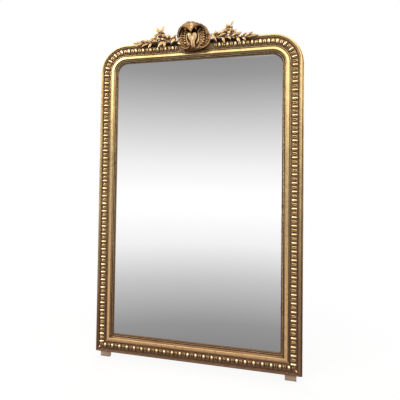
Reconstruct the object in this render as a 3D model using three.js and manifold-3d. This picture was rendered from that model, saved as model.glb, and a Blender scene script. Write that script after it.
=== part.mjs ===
// An arched overmantel mirror: a moulded, gilded frame with a running boss-and-leaf ornament,
// a pearl bead at the sight edge, a carved crest, and a plate of silvered glass behind it.
// Millimetres, +Z up, the front faces -Y. Every size is measured on the object itself.
import * as THREE from 'three';
import { mergeVertices } from 'three/addons/utils/BufferGeometryUtils.js';
import Module from 'manifold-3d';

const wasm = await Module();
wasm.setup();

// ---- Driving dimensions -------------------------------------------------------------------

const FRAME_WIDTH = 970;
const FRAME_HEIGHT = 1500;
const ARCH_RADIUS = 140;          // outer radius of the two upper corners
const SEAT_GAP = 0.3;             // clearance between a piece and what carries it
const ARC_STEPS = 8;              // facets in a quarter turn of the frame
const CURVE_STEPS = 3;            // facets in each curve of the moulding

// Moulding, measured inward from the outer edge and forward from the back
const LIP_WIDTH = 4.5;
const LIP_DEPTH = 21.5;
const RIDGE_START = 7.2;
const RIDGE_WIDTH = 11;
const RIDGE_DEPTH = 40.5;
const CHANNEL_START = 20;
const CHANNEL_WIDTH = 34;
const CHANNEL_DEPTH = 30.6;
const CHANNEL_COVE = 3.4;
const CHANNEL_LIP = 34.4;
const TORUS_START = 56.2;
const TORUS_WIDTH = 12.6;
const TORUS_DEPTH = 38;
const SLOPE_WIDTH = 11.6;
const SLOPE_DEPTH = 27.6;
const SLOPE_DROP = 2.6;
const BEAD_SEAT_WIDTH = 9.4;
const BEAD_SEAT_DEPTH = 22.4;
const SIGHT_WIDTH = 2.1;          // nosing between the pearl bead and the glass
const SIGHT_THICKNESS = 4.1;      // nosing in front of the glass

// Rebates in the back
const GLASS_REBATE = 8.5;
const BOARD_REBATE = 12;
const BOARD_REBATE_DEPTH = 9;

// Running ornament
const ORNAMENT_PITCH = 37;
const RIBBON_THICKNESS = 2;       // the strip that the row is moulded on
const BOSS_LENGTH = 13;           // along the member
const BOSS_WIDTH = 25.6;          // across the member
const BOSS_HEIGHT = 13.5;         // above the floor of the channel
const HUSK_LENGTH = 15.4;
const HUSK_WIDTH = 21;
const HUSK_HEIGHT = 9;

// Pearl bead at the sight edge
const PEARL_WIDTH = 8;
const PEARL_HEIGHT = 3.6;

// Glass, blocks and boards
const GLASS_THICKNESS = 4;
const GLASS_PLAY = 0.6;
const SLIP_WIDTH = 9;
const BOARD_COUNT = 5;
const BOARD_THICKNESS = 7.5;
const BOARD_JOINT = 1.5;

// Feet
const FOOT_WIDTH = 48;
const FOOT_DEPTH = 16;
const FOOT_HEIGHT = 25;
const FOOT_INSET = 24;            // from the frame's outer edge
const FOOT_BACK = 2;              // from the back of the frame

// Crest: a cartouche between two sprays of foliage
const CREST_OFFSET = -3;          // the cartouche stands a little left of the middle
const CREST_RADIUS = 76;          // outside of the hood
const CREST_CENTRE = 2;           // height of the hood's centre above the frame
const CREST_BACK = 8;
const CREST_FRONT = 51;           // front of the ground that the carving lies on
const HOOD_THICKNESS = 6;
const HOOD_REACH = 80;
const HOOD_SHOULDER = 45;         // depth at which the wall turns over into the lip
const HOOD_FLARE = 0.1;           // share that the wall leans out from the back to its shoulder
const HOOD_LIP = 27;              // radius of the lip at its middle
const HOOD_LIP_RISE = 30;         // how far the lip swings out at each lobe
const HOOD_LEAN = -0.25;          // angle of the hood's point from upright
const HOOD_POINT = 3;
const HOOD_FLAT = 9;              // how far the right shoulder is drawn in
const HOOD_RIB = 3.2;
const HOOD_RIBS = 9;
const SHIELD_WIDTH = 48;
const SHIELD_TOP = 23;
const SHIELD_NOTCH = 11;
const SHIELD_HEIGHT = 56;
const SHIELD_THICKNESS = 18;
const SHIELD_LEAN = 0.1;          // angle from upright
const TONGUE_WIDTH = 20;
const TONGUE_LENGTH = 27;
const SCROLL_RADIUS = 6.5;
const SCROLL_TIP = 4;
const CREST_PEARLS = 6;
const CREST_PEARL_RADIUS = 6.6;
const CREST_PEARL_INSET = 46;     // from the centre line of the cartouche
const CREST_PEARL_PITCH = 11.2;   // a little under two radii, so that the pearls are one string
const STEM_RADIUS = 5;
const ROUND_ABOVE_BED = 0.7;      // share of a rod's radius that its centre stands clear of its bed
const STEM_TIP = 2.5;
const LEAF_THICKNESS = 6;
const BERRY_RADIUS = 5.2;
const BUTTON_RADIUS = 7;
const BUTTON_RISE = 3;

// Ring hangers on the back
const HANGER_HEIGHT = 1130;       // ring's axis above the bottom edge of the frame
const HANGER_INSET = 36;
const STRAP_WIDTH = 15;
const STRAP_LENGTH = 58;
const STRAP_THICKNESS = 2;
const EYE_RADIUS = 4.4;
const RING_WIRE = 1.8;            // radius of the wire
const RING_WIDTH = 40;            // between the centres of the wire
const RING_DROP = 27;
const RING_PLAY = 0.35;
const SCREW_RADIUS = 3.6;
const SCREW_HEIGHT = 1.4;
const SCREW_FIRST = 15;           // from the ring's axis
const SCREW_PITCH = 29;

// ---- Sizes that follow --------------------------------------------------------------------

const HALF_WIDTH = FRAME_WIDTH / 2;
const SPRINGING = FRAME_HEIGHT - ARCH_RADIUS;
const CHANNEL_END = CHANNEL_START + CHANNEL_WIDTH;
const ORNAMENT_INSET = CHANNEL_START + CHANNEL_WIDTH / 2;
const TORUS_END = TORUS_START + TORUS_WIDTH;
const SLOPE_END = TORUS_END + SLOPE_WIDTH;
const BEAD_SEAT_END = SLOPE_END + BEAD_SEAT_WIDTH;
const MEMBER_WIDTH = BEAD_SEAT_END + SIGHT_WIDTH;
const SIGHT_BACK = BEAD_SEAT_DEPTH - SIGHT_THICKNESS;
const GLASS_EDGE = MEMBER_WIDTH - GLASS_REBATE;
const BOARD_EDGE = GLASS_EDGE - BOARD_REBATE;
const GLASS_FRONT = SIGHT_BACK - SEAT_GAP;
const GLASS_BACK = GLASS_FRONT - GLASS_THICKNESS;

// Along the middle of the channel: up a stile, round a corner, across the top, and the whole arch
const ROW_RISE = SPRINGING - ORNAMENT_INSET;
const ROW_TURN = (ARCH_RADIUS - ORNAMENT_INSET) * Math.PI / 2;
const ROW_TOP = FRAME_WIDTH - 2 * ARCH_RADIUS;
const ROW_ARCH = 2 * (ROW_RISE + ROW_TURN) + ROW_TOP;
const TURNS = Array.from({ length: ARC_STEPS + 1 }, (_, i) => i / ARC_STEPS);

// ---- Materials ----------------------------------------------------------------------------

const gilding = new THREE.MeshStandardMaterial({ color: 0xb08652, roughness: 0.38, metalness: 0.85 });
const burnished = new THREE.MeshStandardMaterial({ color: 0xd9b26a, roughness: 0.25, metalness: 0.9 });
const antique = new THREE.MeshStandardMaterial({ color: 0x8a6236, roughness: 0.45, metalness: 0.8 });
const silvered = new THREE.MeshStandardMaterial({ color: 0xd8dcdc, roughness: 0.03, metalness: 1 });
const pine = new THREE.MeshStandardMaterial({ color: 0x9a734c, roughness: 0.8, metalness: 0 });
const iron = new THREE.MeshStandardMaterial({ color: 0x4a4542, roughness: 0.5, metalness: 0.9 });

// ---- Small tools --------------------------------------------------------------------------

// A point of the frame: across, forward of the back, and up from the bottom edge.
function point(x, depth, z) {
  return new THREE.Vector3(x, -depth, z);
}

function mix(a, b, t) {
  return a + (b - a) * t;
}

// The same body with bare, shared corners, no collapsed facets, and its faces turned outward.
function closed(geometry) {
  const bare = geometry.clone();
  bare.deleteAttribute('normal');
  bare.deleteAttribute('uv');
  const body = mergeVertices(bare, 1e-4);
  const corners = body.getIndex().array;
  const facets = [];
  let volume = 0;
  for (let i = 0; i < corners.length; i += 3) {
    const facet = Array.from(corners.slice(i, i + 3));
    if (new Set(facet).size === 3) {
      const [a, b, c] = facet.map((k) => (
        new THREE.Vector3().fromBufferAttribute(body.attributes.position, k)));
      volume += a.dot(b.cross(c));
      facets.push(facet);
    }
  }
  body.setIndex(facets.flatMap((facet) => (volume < 0 ? facet.reverse() : facet)));
  body.computeVertexNormals();
  return body;
}

// A plain body bent to its place, corner by corner.
function reshape(geometry, place) {
  const position = geometry.attributes.position;
  const from = new THREE.Vector3();
  for (let i = 0; i < position.count; i += 1) {
    const to = place(from.fromBufferAttribute(position, i));
    position.setXYZ(i, to.x, to.y, to.z);
  }
  return closed(geometry);
}

function toSolid(geometry) {
  const body = closed(geometry);
  return new wasm.Manifold(new wasm.Mesh({
    numProp: 3,
    vertProperties: new Float32Array(body.attributes.position.array),
    triVerts: new Uint32Array(body.getIndex().array),
  }));
}

function toGeometry(solid) {
  const mesh = solid.getMesh();
  const geometry = new THREE.BufferGeometry();
  geometry.setAttribute('position', new THREE.BufferAttribute(new Float32Array(mesh.vertProperties), 3));
  geometry.setIndex(new THREE.BufferAttribute(new Uint32Array(mesh.triVerts), 1));
  geometry.computeVertexNormals();
  return geometry;
}

function joined(geometries) {
  return wasm.Manifold.union(geometries.map(toSolid));
}

// An outline drawn in width and height, thickened forward from a depth.
function plate(outline, back, thickness, bevel = 0, steps = CURVE_STEPS) {
  const body = new THREE.ExtrudeGeometry(outline, {
    depth: thickness - bevel,
    curveSegments: steps,
    bevelEnabled: bevel > 0,
    bevelSegments: 2,
    bevelThickness: bevel,
    bevelSize: bevel,
    bevelOffset: -bevel,
  });
  if (bevel > 0) {
    const position = body.attributes.position;
    for (let i = 0; i < position.count; i += 1) {
      position.setZ(i, Math.max(position.getZ(i), 0));
    }
  }
  return reshape(body, (p) => point(p.x, back + p.z, p.y));
}

// ---- The frame ----------------------------------------------------------------------------

// Section of the moulding: x runs inward from the outer edge, y forward from the back.
function mouldingSection() {
  const s = new THREE.Shape();
  s.moveTo(0, 0);
  s.lineTo(0, LIP_DEPTH - 2.5);
  s.quadraticCurveTo(0.4, LIP_DEPTH, 2.6, LIP_DEPTH);
  s.lineTo(LIP_WIDTH, LIP_DEPTH);
  s.lineTo(LIP_WIDTH + 0.7, LIP_DEPTH - 1.8);
  s.lineTo(RIDGE_START, LIP_DEPTH - 1.4);
  const ridgeMiddle = RIDGE_START + RIDGE_WIDTH * 0.56;
  const ridgeEnd = RIDGE_START + RIDGE_WIDTH;
  s.bezierCurveTo(RIDGE_START, RIDGE_DEPTH - 8, ridgeMiddle - 4, RIDGE_DEPTH, ridgeMiddle, RIDGE_DEPTH);
  s.quadraticCurveTo(ridgeEnd, RIDGE_DEPTH, ridgeEnd, RIDGE_DEPTH - 4.2);
  s.lineTo(ridgeEnd, RIDGE_DEPTH - 5.4);
  s.lineTo(CHANNEL_START, RIDGE_DEPTH - 5.8);
  s.quadraticCurveTo(CHANNEL_START, CHANNEL_DEPTH, CHANNEL_START + CHANNEL_COVE, CHANNEL_DEPTH);
  s.lineTo(CHANNEL_END - CHANNEL_COVE, CHANNEL_DEPTH);
  s.quadraticCurveTo(CHANNEL_END, CHANNEL_DEPTH, CHANNEL_END, CHANNEL_LIP);
  s.lineTo(TORUS_START, CHANNEL_LIP);
  s.lineTo(TORUS_START, CHANNEL_LIP - 1.6);
  const swell = TORUS_DEPTH + (TORUS_DEPTH - CHANNEL_LIP) * 0.9;
  s.bezierCurveTo(TORUS_START, swell, TORUS_END, swell, TORUS_END, SLOPE_DEPTH + 3);
  s.lineTo(TORUS_END, SLOPE_DEPTH);
  const slopeEnd = SLOPE_DEPTH - SLOPE_DROP;
  s.quadraticCurveTo(mix(TORUS_END, SLOPE_END, 0.4), slopeEnd, SLOPE_END, slopeEnd);
  s.lineTo(SLOPE_END, BEAD_SEAT_DEPTH);
  s.lineTo(BEAD_SEAT_END, BEAD_SEAT_DEPTH);
  s.quadraticCurveTo(MEMBER_WIDTH, BEAD_SEAT_DEPTH, MEMBER_WIDTH, SIGHT_BACK);
  s.lineTo(GLASS_EDGE, SIGHT_BACK);
  s.lineTo(GLASS_EDGE, BOARD_REBATE_DEPTH);
  s.lineTo(BOARD_EDGE, BOARD_REBATE_DEPTH);
  s.lineTo(BOARD_EDGE, 0);
  s.closePath();
  return s;
}

// The runs of the frame. Each takes a section's inset and depth, and how far along it lies.
const onStile = (side) => (inset, depth, t) => (
  point(side * (HALF_WIDTH - inset), depth, mix(inset, SPRINGING, t)));
const onBottomRail = (inset, depth, t) => (
  point(mix(inset - HALF_WIDTH, HALF_WIDTH - inset, t), depth, inset));
const onTopRail = (inset, depth, t) => (
  point(mix(ARCH_RADIUS - HALF_WIDTH, HALF_WIDTH - ARCH_RADIUS, t), depth, FRAME_HEIGHT - inset));
const onCorner = (side) => (inset, depth, t) => {
  const turn = t * Math.PI / 2;
  const radius = ARCH_RADIUS - inset;
  return point(
    side * (HALF_WIDTH - ARCH_RADIUS + radius * Math.cos(turn)),
    depth,
    SPRINGING + radius * Math.sin(turn),
  );
};

// A place on the arch, by its distance along the channel from the foot of the left stile.
function onArch(inset, depth, along) {
  const side = along < ROW_ARCH / 2 ? -1 : 1;
  const climbed = Math.min(along, ROW_ARCH - along);
  if (climbed <= ROW_RISE) {
    return onStile(side)(inset, depth, climbed / ROW_RISE);
  }
  if (climbed < ROW_RISE + ROW_TURN) {
    return onCorner(side)(inset, depth, (climbed - ROW_RISE) / ROW_TURN);
  }
  return onTopRail(inset, depth, (along - ROW_RISE - ROW_TURN) / ROW_TOP);
}

// A section carried along one run, from station to station.
function member(section, place, stations = [0, 1]) {
  const steps = stations.length - 1;
  const bar = new THREE.ExtrudeGeometry(section, {
    depth: 1, steps, bevelEnabled: false, curveSegments: CURVE_STEPS,
  });
  return reshape(bar, (p) => place(p.x, p.y, stations[Math.round(p.z * steps)]));
}

// ---- The running ornament -----------------------------------------------------------------

// A body of revolution from its flat foot to its top, across and along the member.
function turned(profile, sides, width, length, foot, height) {
  const outline = profile.map(([r, h]) => new THREE.Vector2(r, mix(foot, height, h)));
  return new THREE.LatheGeometry(outline, sides)
    .scale(width / 2, 1, length / 2)
    .rotateX(Math.PI / 2);
}

// How high a piece's foot is: sunk in its ribbon, or laid on top of the ribbons.
const SUNK = RIBBON_THICKNESS / 2;
const LAID = RIBBON_THICKNESS + SEAT_GAP;

// A transverse boss.
function boss() {
  const profile = [[0, 0], [1, 0], [0.8, 0.7], [0, 1]];
  return turned(profile, 6, BOSS_LENGTH, BOSS_WIDTH, SUNK, BOSS_HEIGHT).rotateZ(Math.PI / 2);
}

// A husk: a low curled leaf with a hollow heart.
function husk(foot = SUNK) {
  const profile = [[0, 0], [1, 0], [0.66, 1], [0, 0.5]];
  return turned(profile, 6, HUSK_WIDTH, HUSK_LENGTH, foot, HUSK_HEIGHT);
}

// One piece of the row, standing on the channel's floor with its width across the member.
function seated(piece, place, along) {
  const seat = place(ORNAMENT_INSET, CHANNEL_DEPTH, along);
  const ahead = place(ORNAMENT_INSET, CHANNEL_DEPTH, along + 0.001);
  const forward = new THREE.Vector3(0, -1, 0);
  const onward = ahead.sub(seat).normalize();
  const across = onward.clone().cross(forward);
  return piece.applyMatrix4(new THREE.Matrix4().makeBasis(across, onward, forward).setPosition(seat));
}

// The flat ribbon that carries a strip of the row.
function ribbon(place, stations) {
  const low = CHANNEL_START + CHANNEL_COVE + SEAT_GAP;
  const high = CHANNEL_END - CHANNEL_COVE - SEAT_GAP;
  const s = new THREE.Shape();
  s.moveTo(low, CHANNEL_DEPTH);
  s.lineTo(low, CHANNEL_DEPTH + RIBBON_THICKNESS);
  s.lineTo(high, CHANNEL_DEPTH + RIBBON_THICKNESS);
  s.lineTo(high, CHANNEL_DEPTH);
  s.closePath();
  return member(s, place, stations);
}

// The row on the bottom rail: bosses, with a husk between each two.
function ornamentBottom() {
  const count = Math.round((FRAME_WIDTH - 2 * ORNAMENT_INSET) / ORNAMENT_PITCH);
  const strip = [ribbon(onBottomRail)];
  for (let i = 1; i < 2 * count; i += 1) {
    strip.push(seated(i % 2 ? boss() : husk(), onBottomRail, i / (2 * count)));
  }
  return joined(strip);
}

// The husk that covers the mitre of two ribbons.
function ornamentMitre(side) {
  return closed(seated(husk(LAID), onBottomRail, side < 0 ? 0 : 1));
}

// The row round the arch, from mitre to mitre. It is cut into strips in the gaps that are nearest
// to the frame's own joints, and the cartouche leaves no room for the pieces behind it.
function ornamentArch() {
  const count = Math.round(ROW_ARCH / ORNAMENT_PITCH);
  const step = ROW_ARCH / (2 * count);
  const pieceLength = (i) => (i % 2 ? BOSS_LENGTH : HUSK_LENGTH);
  const gapAfter = (i) => (i + 0.5) * step + (pieceLength(i) - pieceLength(i + 1)) / 4;
  const nearestGap = (along) => {
    const i = Math.floor(along / step);
    const near = [i - 1, i, i + 1].map(gapAfter);
    return near.sort((a, b) => Math.abs(a - along) - Math.abs(b - along))[0];
  };
  const low = nearestGap(ROW_RISE);
  const high = nearestGap(ROW_RISE + ROW_TURN);
  const ends = [0, low, high, ROW_ARCH - high, ROW_ARCH - low, ROW_ARCH];
  const climb = TURNS.map((t) => ROW_RISE + t * ROW_TURN);
  const facets = [...climb, ...climb.map((along) => ROW_ARCH - along).reverse()];
  const strips = {};
  ['left', 'corner_left', 'top', 'corner_right', 'right'].forEach((name, k) => {
    const inside = facets.filter((along) => along > ends[k] + 1 && along < ends[k + 1] - 1);
    const strip = [ribbon(onArch, [ends[k], ...inside, ends[k + 1]])];
    for (let i = 1; i < 2 * count; i += 1) {
      const along = i * step;
      const bare = CREST_RADIUS - HOOD_THICKNESS - CREST_OFFSET + (i % 2 ? BOSS_LENGTH / 2 : 0);
      const clear = Math.abs(along - ROW_ARCH / 2) > bare;
      if (clear && along > ends[k] && along < ends[k + 1]) {
        strip.push(seated(i % 2 ? boss() : husk(), onArch, along));
      }
    }
    strips[name] = joined(strip);
  });
  return strips;
}

// ---- Pearl bead at the sight edge ---------------------------------------------------------

function pearlSection() {
  const middle = mix(SLOPE_END, BEAD_SEAT_END, 0.5);
  const s = new THREE.Shape();
  s.moveTo(middle + PEARL_WIDTH / 2, BEAD_SEAT_DEPTH);
  s.bezierCurveTo(
    middle + PEARL_WIDTH / 2, BEAD_SEAT_DEPTH + PEARL_HEIGHT * 1.33,
    middle - PEARL_WIDTH / 2, BEAD_SEAT_DEPTH + PEARL_HEIGHT * 1.33,
    middle - PEARL_WIDTH / 2, BEAD_SEAT_DEPTH,
  );
  s.closePath();
  return s;
}

// ---- Glass, blocks and boards -------------------------------------------------------------

// The frame's own outline, drawn in from its outer edge, between two heights. Its corners have
// the frame's own facets, so that it fits inside them all the way round.
function archedOutline(inset, low = inset, high = FRAME_HEIGHT - inset) {
  const half = HALF_WIDTH - inset;
  const s = new THREE.Shape();
  s.moveTo(-half, low);
  s.lineTo(half, low);
  if (high > SPRINGING) {
    const corner = TURNS.map((t) => onCorner(1)(inset, 0, t));
    corner.forEach((p) => s.lineTo(p.x, p.z));
    corner.reverse().forEach((p) => s.lineTo(-p.x, p.z));
  } else {
    s.lineTo(half, high);
    s.lineTo(-half, high);
  }
  s.closePath();
  return s;
}

// A wedge-shaped slip, pressed into the rebate behind the glass.
function glazingSlip(place) {
  const low = BOARD_REBATE_DEPTH + SEAT_GAP;
  const high = GLASS_BACK - SEAT_GAP;
  const edge = GLASS_EDGE + SEAT_GAP;
  const wedge = new THREE.Shape();
  wedge.moveTo(edge, low);
  wedge.lineTo(edge + SLIP_WIDTH / 3, low);
  wedge.lineTo(edge + SLIP_WIDTH, high);
  wedge.lineTo(edge, high);
  wedge.closePath();
  return member(wedge, place);
}

// One of the level boards that close the back.
function backBoard(row) {
  const inset = BOARD_EDGE + SEAT_GAP;
  const height = FRAME_HEIGHT - 2 * inset;
  const pitch = (height + BOARD_JOINT) / BOARD_COUNT;
  const low = inset + row * pitch;
  const outline = archedOutline(inset, low, low + pitch - BOARD_JOINT);
  const front = BOARD_REBATE_DEPTH - SEAT_GAP;
  return plate(outline, front - BOARD_THICKNESS, BOARD_THICKNESS);
}

// ---- Crest --------------------------------------------------------------------------------

// A tapering rod along a curve, with a rounded section that may be flattened.
function rod(points, radius, tipRadius, steps = 8, sides = 6, grow = 0) {
  const curve = new THREE.CatmullRomCurve3(points.map(([x, depth, z]) => point(x, depth, z)));
  const frames = curve.computeFrenetFrames(steps, false);
  const body = new THREE.CylinderGeometry(1, 1, 1, sides, steps);
  return reshape(body, (p) => {
    const t = p.y + 0.5;
    const i = Math.round(t * steps);
    const r = mix(radius, tipRadius, t) + grow;
    return curve.getPointAt(i / steps)
      .addScaledVector(frames.normals[i], p.x * r)
      .addScaledVector(frames.binormals[i], p.z * r);
  });
}

// A carved leaf from its base to its tip: widest near the base, bowed forward and folded.
function leaf({ base, tip, width, bow = 6, fold = 0.25 }, grow = 0) {
  const span = point(...tip).sub(point(...base));
  const from = point(...base).addScaledVector(span, -grow / span.length());
  const reach = span.clone().setLength(span.length() + 2 * grow);
  const forward = new THREE.Vector3(0, -1, 0);
  const sideways = reach.clone().cross(forward).normalize();
  const outward = sideways.clone().cross(reach).normalize();
  const body = new THREE.SphereGeometry(1, 5, 4);
  return reshape(body, (p) => {
    const t = (1 - p.y) / 2;
    const swell = 1.25 - 0.75 * t;
    const across = p.x * (swell * width / 2 + grow);
    const lift = p.z * (swell * LEAF_THICKNESS / 2 + 1.5 * grow)
      - Math.abs(across) * fold + bow * 4 * t * (1 - t);
    return from.clone()
      .addScaledVector(reach, t)
      .addScaledVector(sideways, across)
      .addScaledVector(outward, lift);
  });
}

function ball([x, depth, z], radius) {
  return new THREE.SphereGeometry(radius, 6, 4).translate(x, -depth, z);
}

// The space that a carving is cut back from: all that lies behind a depth and below a height.
function behind(depth, top) {
  const bed = new THREE.BoxGeometry(FRAME_WIDTH, depth + SEAT_GAP, FRAME_HEIGHT);
  bed.translate(0, -(depth + SEAT_GAP) / 2, top + SEAT_GAP - FRAME_HEIGHT / 2);
  return toSolid(bed);
}

// Outside radius of the hood at an angle from upright, drawn in at the right shoulder.
function hoodWall(angle) {
  return CREST_RADIUS - HOOD_FLAT * Math.exp(-(((angle - 0.6) / 0.5) ** 2));
}

// The block under the cartouche: round above, narrowing to the tongue below.
function crestGround() {
  const s = new THREE.Shape();
  const facets = 2 * HOOD_RIBS;
  for (let i = 0; i <= facets; i += 1) {
    const angle = (i / facets - 0.5) * Math.PI;
    const radius = hoodWall(angle) * (1 - HOOD_FLARE) - HOOD_THICKNESS - SEAT_GAP;
    const corner = [radius * Math.sin(angle), CREST_CENTRE + radius * Math.cos(angle)];
    if (i === 0) {
      s.moveTo(...corner);
    } else {
      s.lineTo(...corner);
    }
  }
  const foot = SHIELD_TOP - SHIELD_HEIGHT - TONGUE_LENGTH;
  s.bezierCurveTo(CREST_RADIUS - 8, -30, 54, foot, 0, foot);
  s.bezierCurveTo(-54, foot, 8 - CREST_RADIUS, -30, s.getPoint(0).x, CREST_CENTRE);
  return plate(s, CREST_BACK, CREST_FRONT - CREST_BACK, 0, 6);
}

// A ribbed shell that rises round the ground and curls forward into a lip with two lobes.
function crestHood() {
  const across = 2 * HOOD_RIBS;
  const body = new THREE.BoxGeometry(1, 1, 1, across, 5, 1);
  const shoulder = 0.4;
  return reshape(body, (p) => {
    const angle = p.x * Math.PI;
    const t = p.y + 0.5;
    const outside = p.z > 0 ? 1 : 0;
    const fromPoint = angle - HOOD_LEAN;
    const rib = HOOD_RIB * (Math.abs(Math.cos(angle * HOOD_RIBS)) * Math.min(1, 2 * t) - 1);
    const peak = HOOD_POINT * Math.exp(-((fromPoint / 0.25) ** 2));
    const rise = Math.min(t / shoulder, 1);
    const lean = 1 - HOOD_FLARE * (1 - rise);
    const wall = hoodWall(angle) * lean + (outside ? rib + peak : -HOOD_THICKNESS);
    const lobe = HOOD_LIP + HOOD_LIP_RISE * Math.sin(Math.min(Math.abs(fromPoint) / 0.6, Math.PI / 2)) ** 2;
    const lip = Math.min(lobe + outside * 2, wall);
    const turn = Math.max(0, (t - shoulder) / (1 - shoulder)) * Math.PI / 2;
    const radius = mix(lip, wall, Math.cos(turn));
    const curl = (HOOD_REACH - HOOD_THICKNESS - HOOD_SHOULDER) * (0.55 + 0.45 * Math.cos(angle));
    const front = HOOD_SHOULDER + (curl + outside * HOOD_THICKNESS) * Math.sin(turn);
    const depth = turn > 0 ? front : mix(CREST_BACK, HOOD_SHOULDER, rise);
    return point(radius * Math.sin(angle), depth, CREST_CENTRE + radius * Math.cos(angle));
  });
}

// The smooth shield: two lobes above, tapering to a tongue.
function crestShield() {
  const half = SHIELD_WIDTH / 2;
  const low = SHIELD_TOP - SHIELD_HEIGHT;
  const end = low - TONGUE_LENGTH;
  const notch = SHIELD_TOP - SHIELD_NOTCH;
  const tongue = TONGUE_WIDTH / 2;
  const s = new THREE.Shape();
  s.moveTo(0, notch);
  s.bezierCurveTo(half * 0.3, SHIELD_TOP, half * 0.9, SHIELD_TOP + 2, half, SHIELD_TOP * 0.3);
  s.bezierCurveTo(half + 1, -10, tongue + 4, low + 12, tongue, low);
  s.lineTo(tongue, end + 6);
  s.quadraticCurveTo(tongue, end, 0, end);
  s.quadraticCurveTo(-tongue, end, -tongue, end + 6);
  s.lineTo(-tongue, low);
  s.bezierCurveTo(-tongue - 4, low + 12, -half - 1, -10, -half, SHIELD_TOP * 0.3);
  s.bezierCurveTo(-half * 0.9, SHIELD_TOP + 2, -half * 0.3, SHIELD_TOP, 0, notch);
  return plate(s, CREST_FRONT + SEAT_GAP, SHIELD_THICKNESS, 5).rotateY(-SHIELD_LEAN);
}

// A scroll from the end of the hood, round the foot of the cartouche and back into its eye.
function crestScroll(side) {
  const depth = CREST_FRONT + SEAT_GAP + SCROLL_RADIUS * ROUND_ABOVE_BED;
  const route = [
    [73, CREST_CENTRE - 2], [74, -14], [67, -35], [54, -49], [39, -54], [28, -49], [26, -40], [32, -35],
  ];
  const points = route.map(([x, z]) => [side * x, depth, z]);
  return rod(points, SCROLL_RADIUS, SCROLL_TIP, 14);
}

function crestPearls(side) {
  const pearls = [];
  for (let i = 0; i < CREST_PEARLS; i += 1) {
    const z = CREST_CENTRE + 24 - i * CREST_PEARL_PITCH;
    const swing = 7 * ((z - CREST_CENTRE + 4) / 34) ** 2;
    const seat = CREST_FRONT + SEAT_GAP + CREST_PEARL_RADIUS;
    pearls.push(ball([side * (CREST_PEARL_INSET - swing), seat, z], CREST_PEARL_RADIUS));
  }
  return toGeometry(joined(pearls));
}

// The sprays. Points are width, depth and height above the frame.
const SPRAY_DEPTH = RIDGE_DEPTH + SEAT_GAP + STEM_RADIUS * ROUND_ABOVE_BED;
const OVER_ROW = CHANNEL_DEPTH + BOSS_HEIGHT + SEAT_GAP + LEAF_THICKNESS;

const leftSpray = {
  stem: [[-80, SPRAY_DEPTH, -13], [-125, SPRAY_DEPTH, -4], [-175, SPRAY_DEPTH, -6],
    [-225, SPRAY_DEPTH, -13], [-280, SPRAY_DEPTH, -13]],
  leaves: [
    { base: [-94, SPRAY_DEPTH, 8], tip: [-116, OVER_ROW, -28], width: 15 },
    { base: [-114, SPRAY_DEPTH, 0], tip: [-90, SPRAY_DEPTH + 4, 17], width: 14 },
    { base: [-142, SPRAY_DEPTH, 0], tip: [-118, SPRAY_DEPTH + 6, 18], width: 18 },
    { base: [-118, SPRAY_DEPTH, 0], tip: [-138, SPRAY_DEPTH, 26], width: 14 },
    { base: [-166, SPRAY_DEPTH + 4, 4], tip: [-188, SPRAY_DEPTH + 8, 0], width: 14 },
    { base: [-166, SPRAY_DEPTH + 4, 4], tip: [-144, SPRAY_DEPTH + 8, -5], width: 15 },
    { base: [-184, SPRAY_DEPTH, -4], tip: [-203, SPRAY_DEPTH + 2, 27], width: 18 },
    { base: [-192, SPRAY_DEPTH, -5], tip: [-221, SPRAY_DEPTH + 2, 12], width: 16 },
    { base: [-178, SPRAY_DEPTH + 2, -6], tip: [-210, SPRAY_DEPTH + 8, -8], width: 14 },
    { base: [-212, SPRAY_DEPTH, -14], tip: [-251, SPRAY_DEPTH, 8], width: 14 },
    { base: [-212, SPRAY_DEPTH + 2, -8], tip: [-227, OVER_ROW + 2, -45], width: 13 },
    { base: [-150, SPRAY_DEPTH + 4, -4], tip: [-180, OVER_ROW + 2, -42], width: 19 },
    { base: [-146, SPRAY_DEPTH + 2, -4], tip: [-147, OVER_ROW + 2, -46], width: 12 },
    { base: [-234, SPRAY_DEPTH, -9], tip: [-270, SPRAY_DEPTH + 4, 4], width: 13 },
    { base: [-232, SPRAY_DEPTH, -10], tip: [-262, OVER_ROW, -32], width: 12 },
    { base: [-246, SPRAY_DEPTH, -9], tip: [-312, SPRAY_DEPTH, -5], width: 16 },
    { base: [-262, SPRAY_DEPTH + 2, -10], tip: [-294, OVER_ROW, -28], width: 12 },
  ],
  flower: { at: [-167, SPRAY_DEPTH + 6, 20], petals: [
    { to: [-190, SPRAY_DEPTH + 2, 62], width: 17 },
    { to: [-151, SPRAY_DEPTH, 65], width: 16 },
    { to: [-169, SPRAY_DEPTH + 10, 46], width: 18 },
    { to: [-140, SPRAY_DEPTH + 4, 13], width: 14 },
    { to: [-197, SPRAY_DEPTH + 4, 24], width: 15 },
  ] },
  berries: [[-105, -12], [-130, -12], [-199, -12], [-211, -4], [-242, -16]],
};

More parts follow.
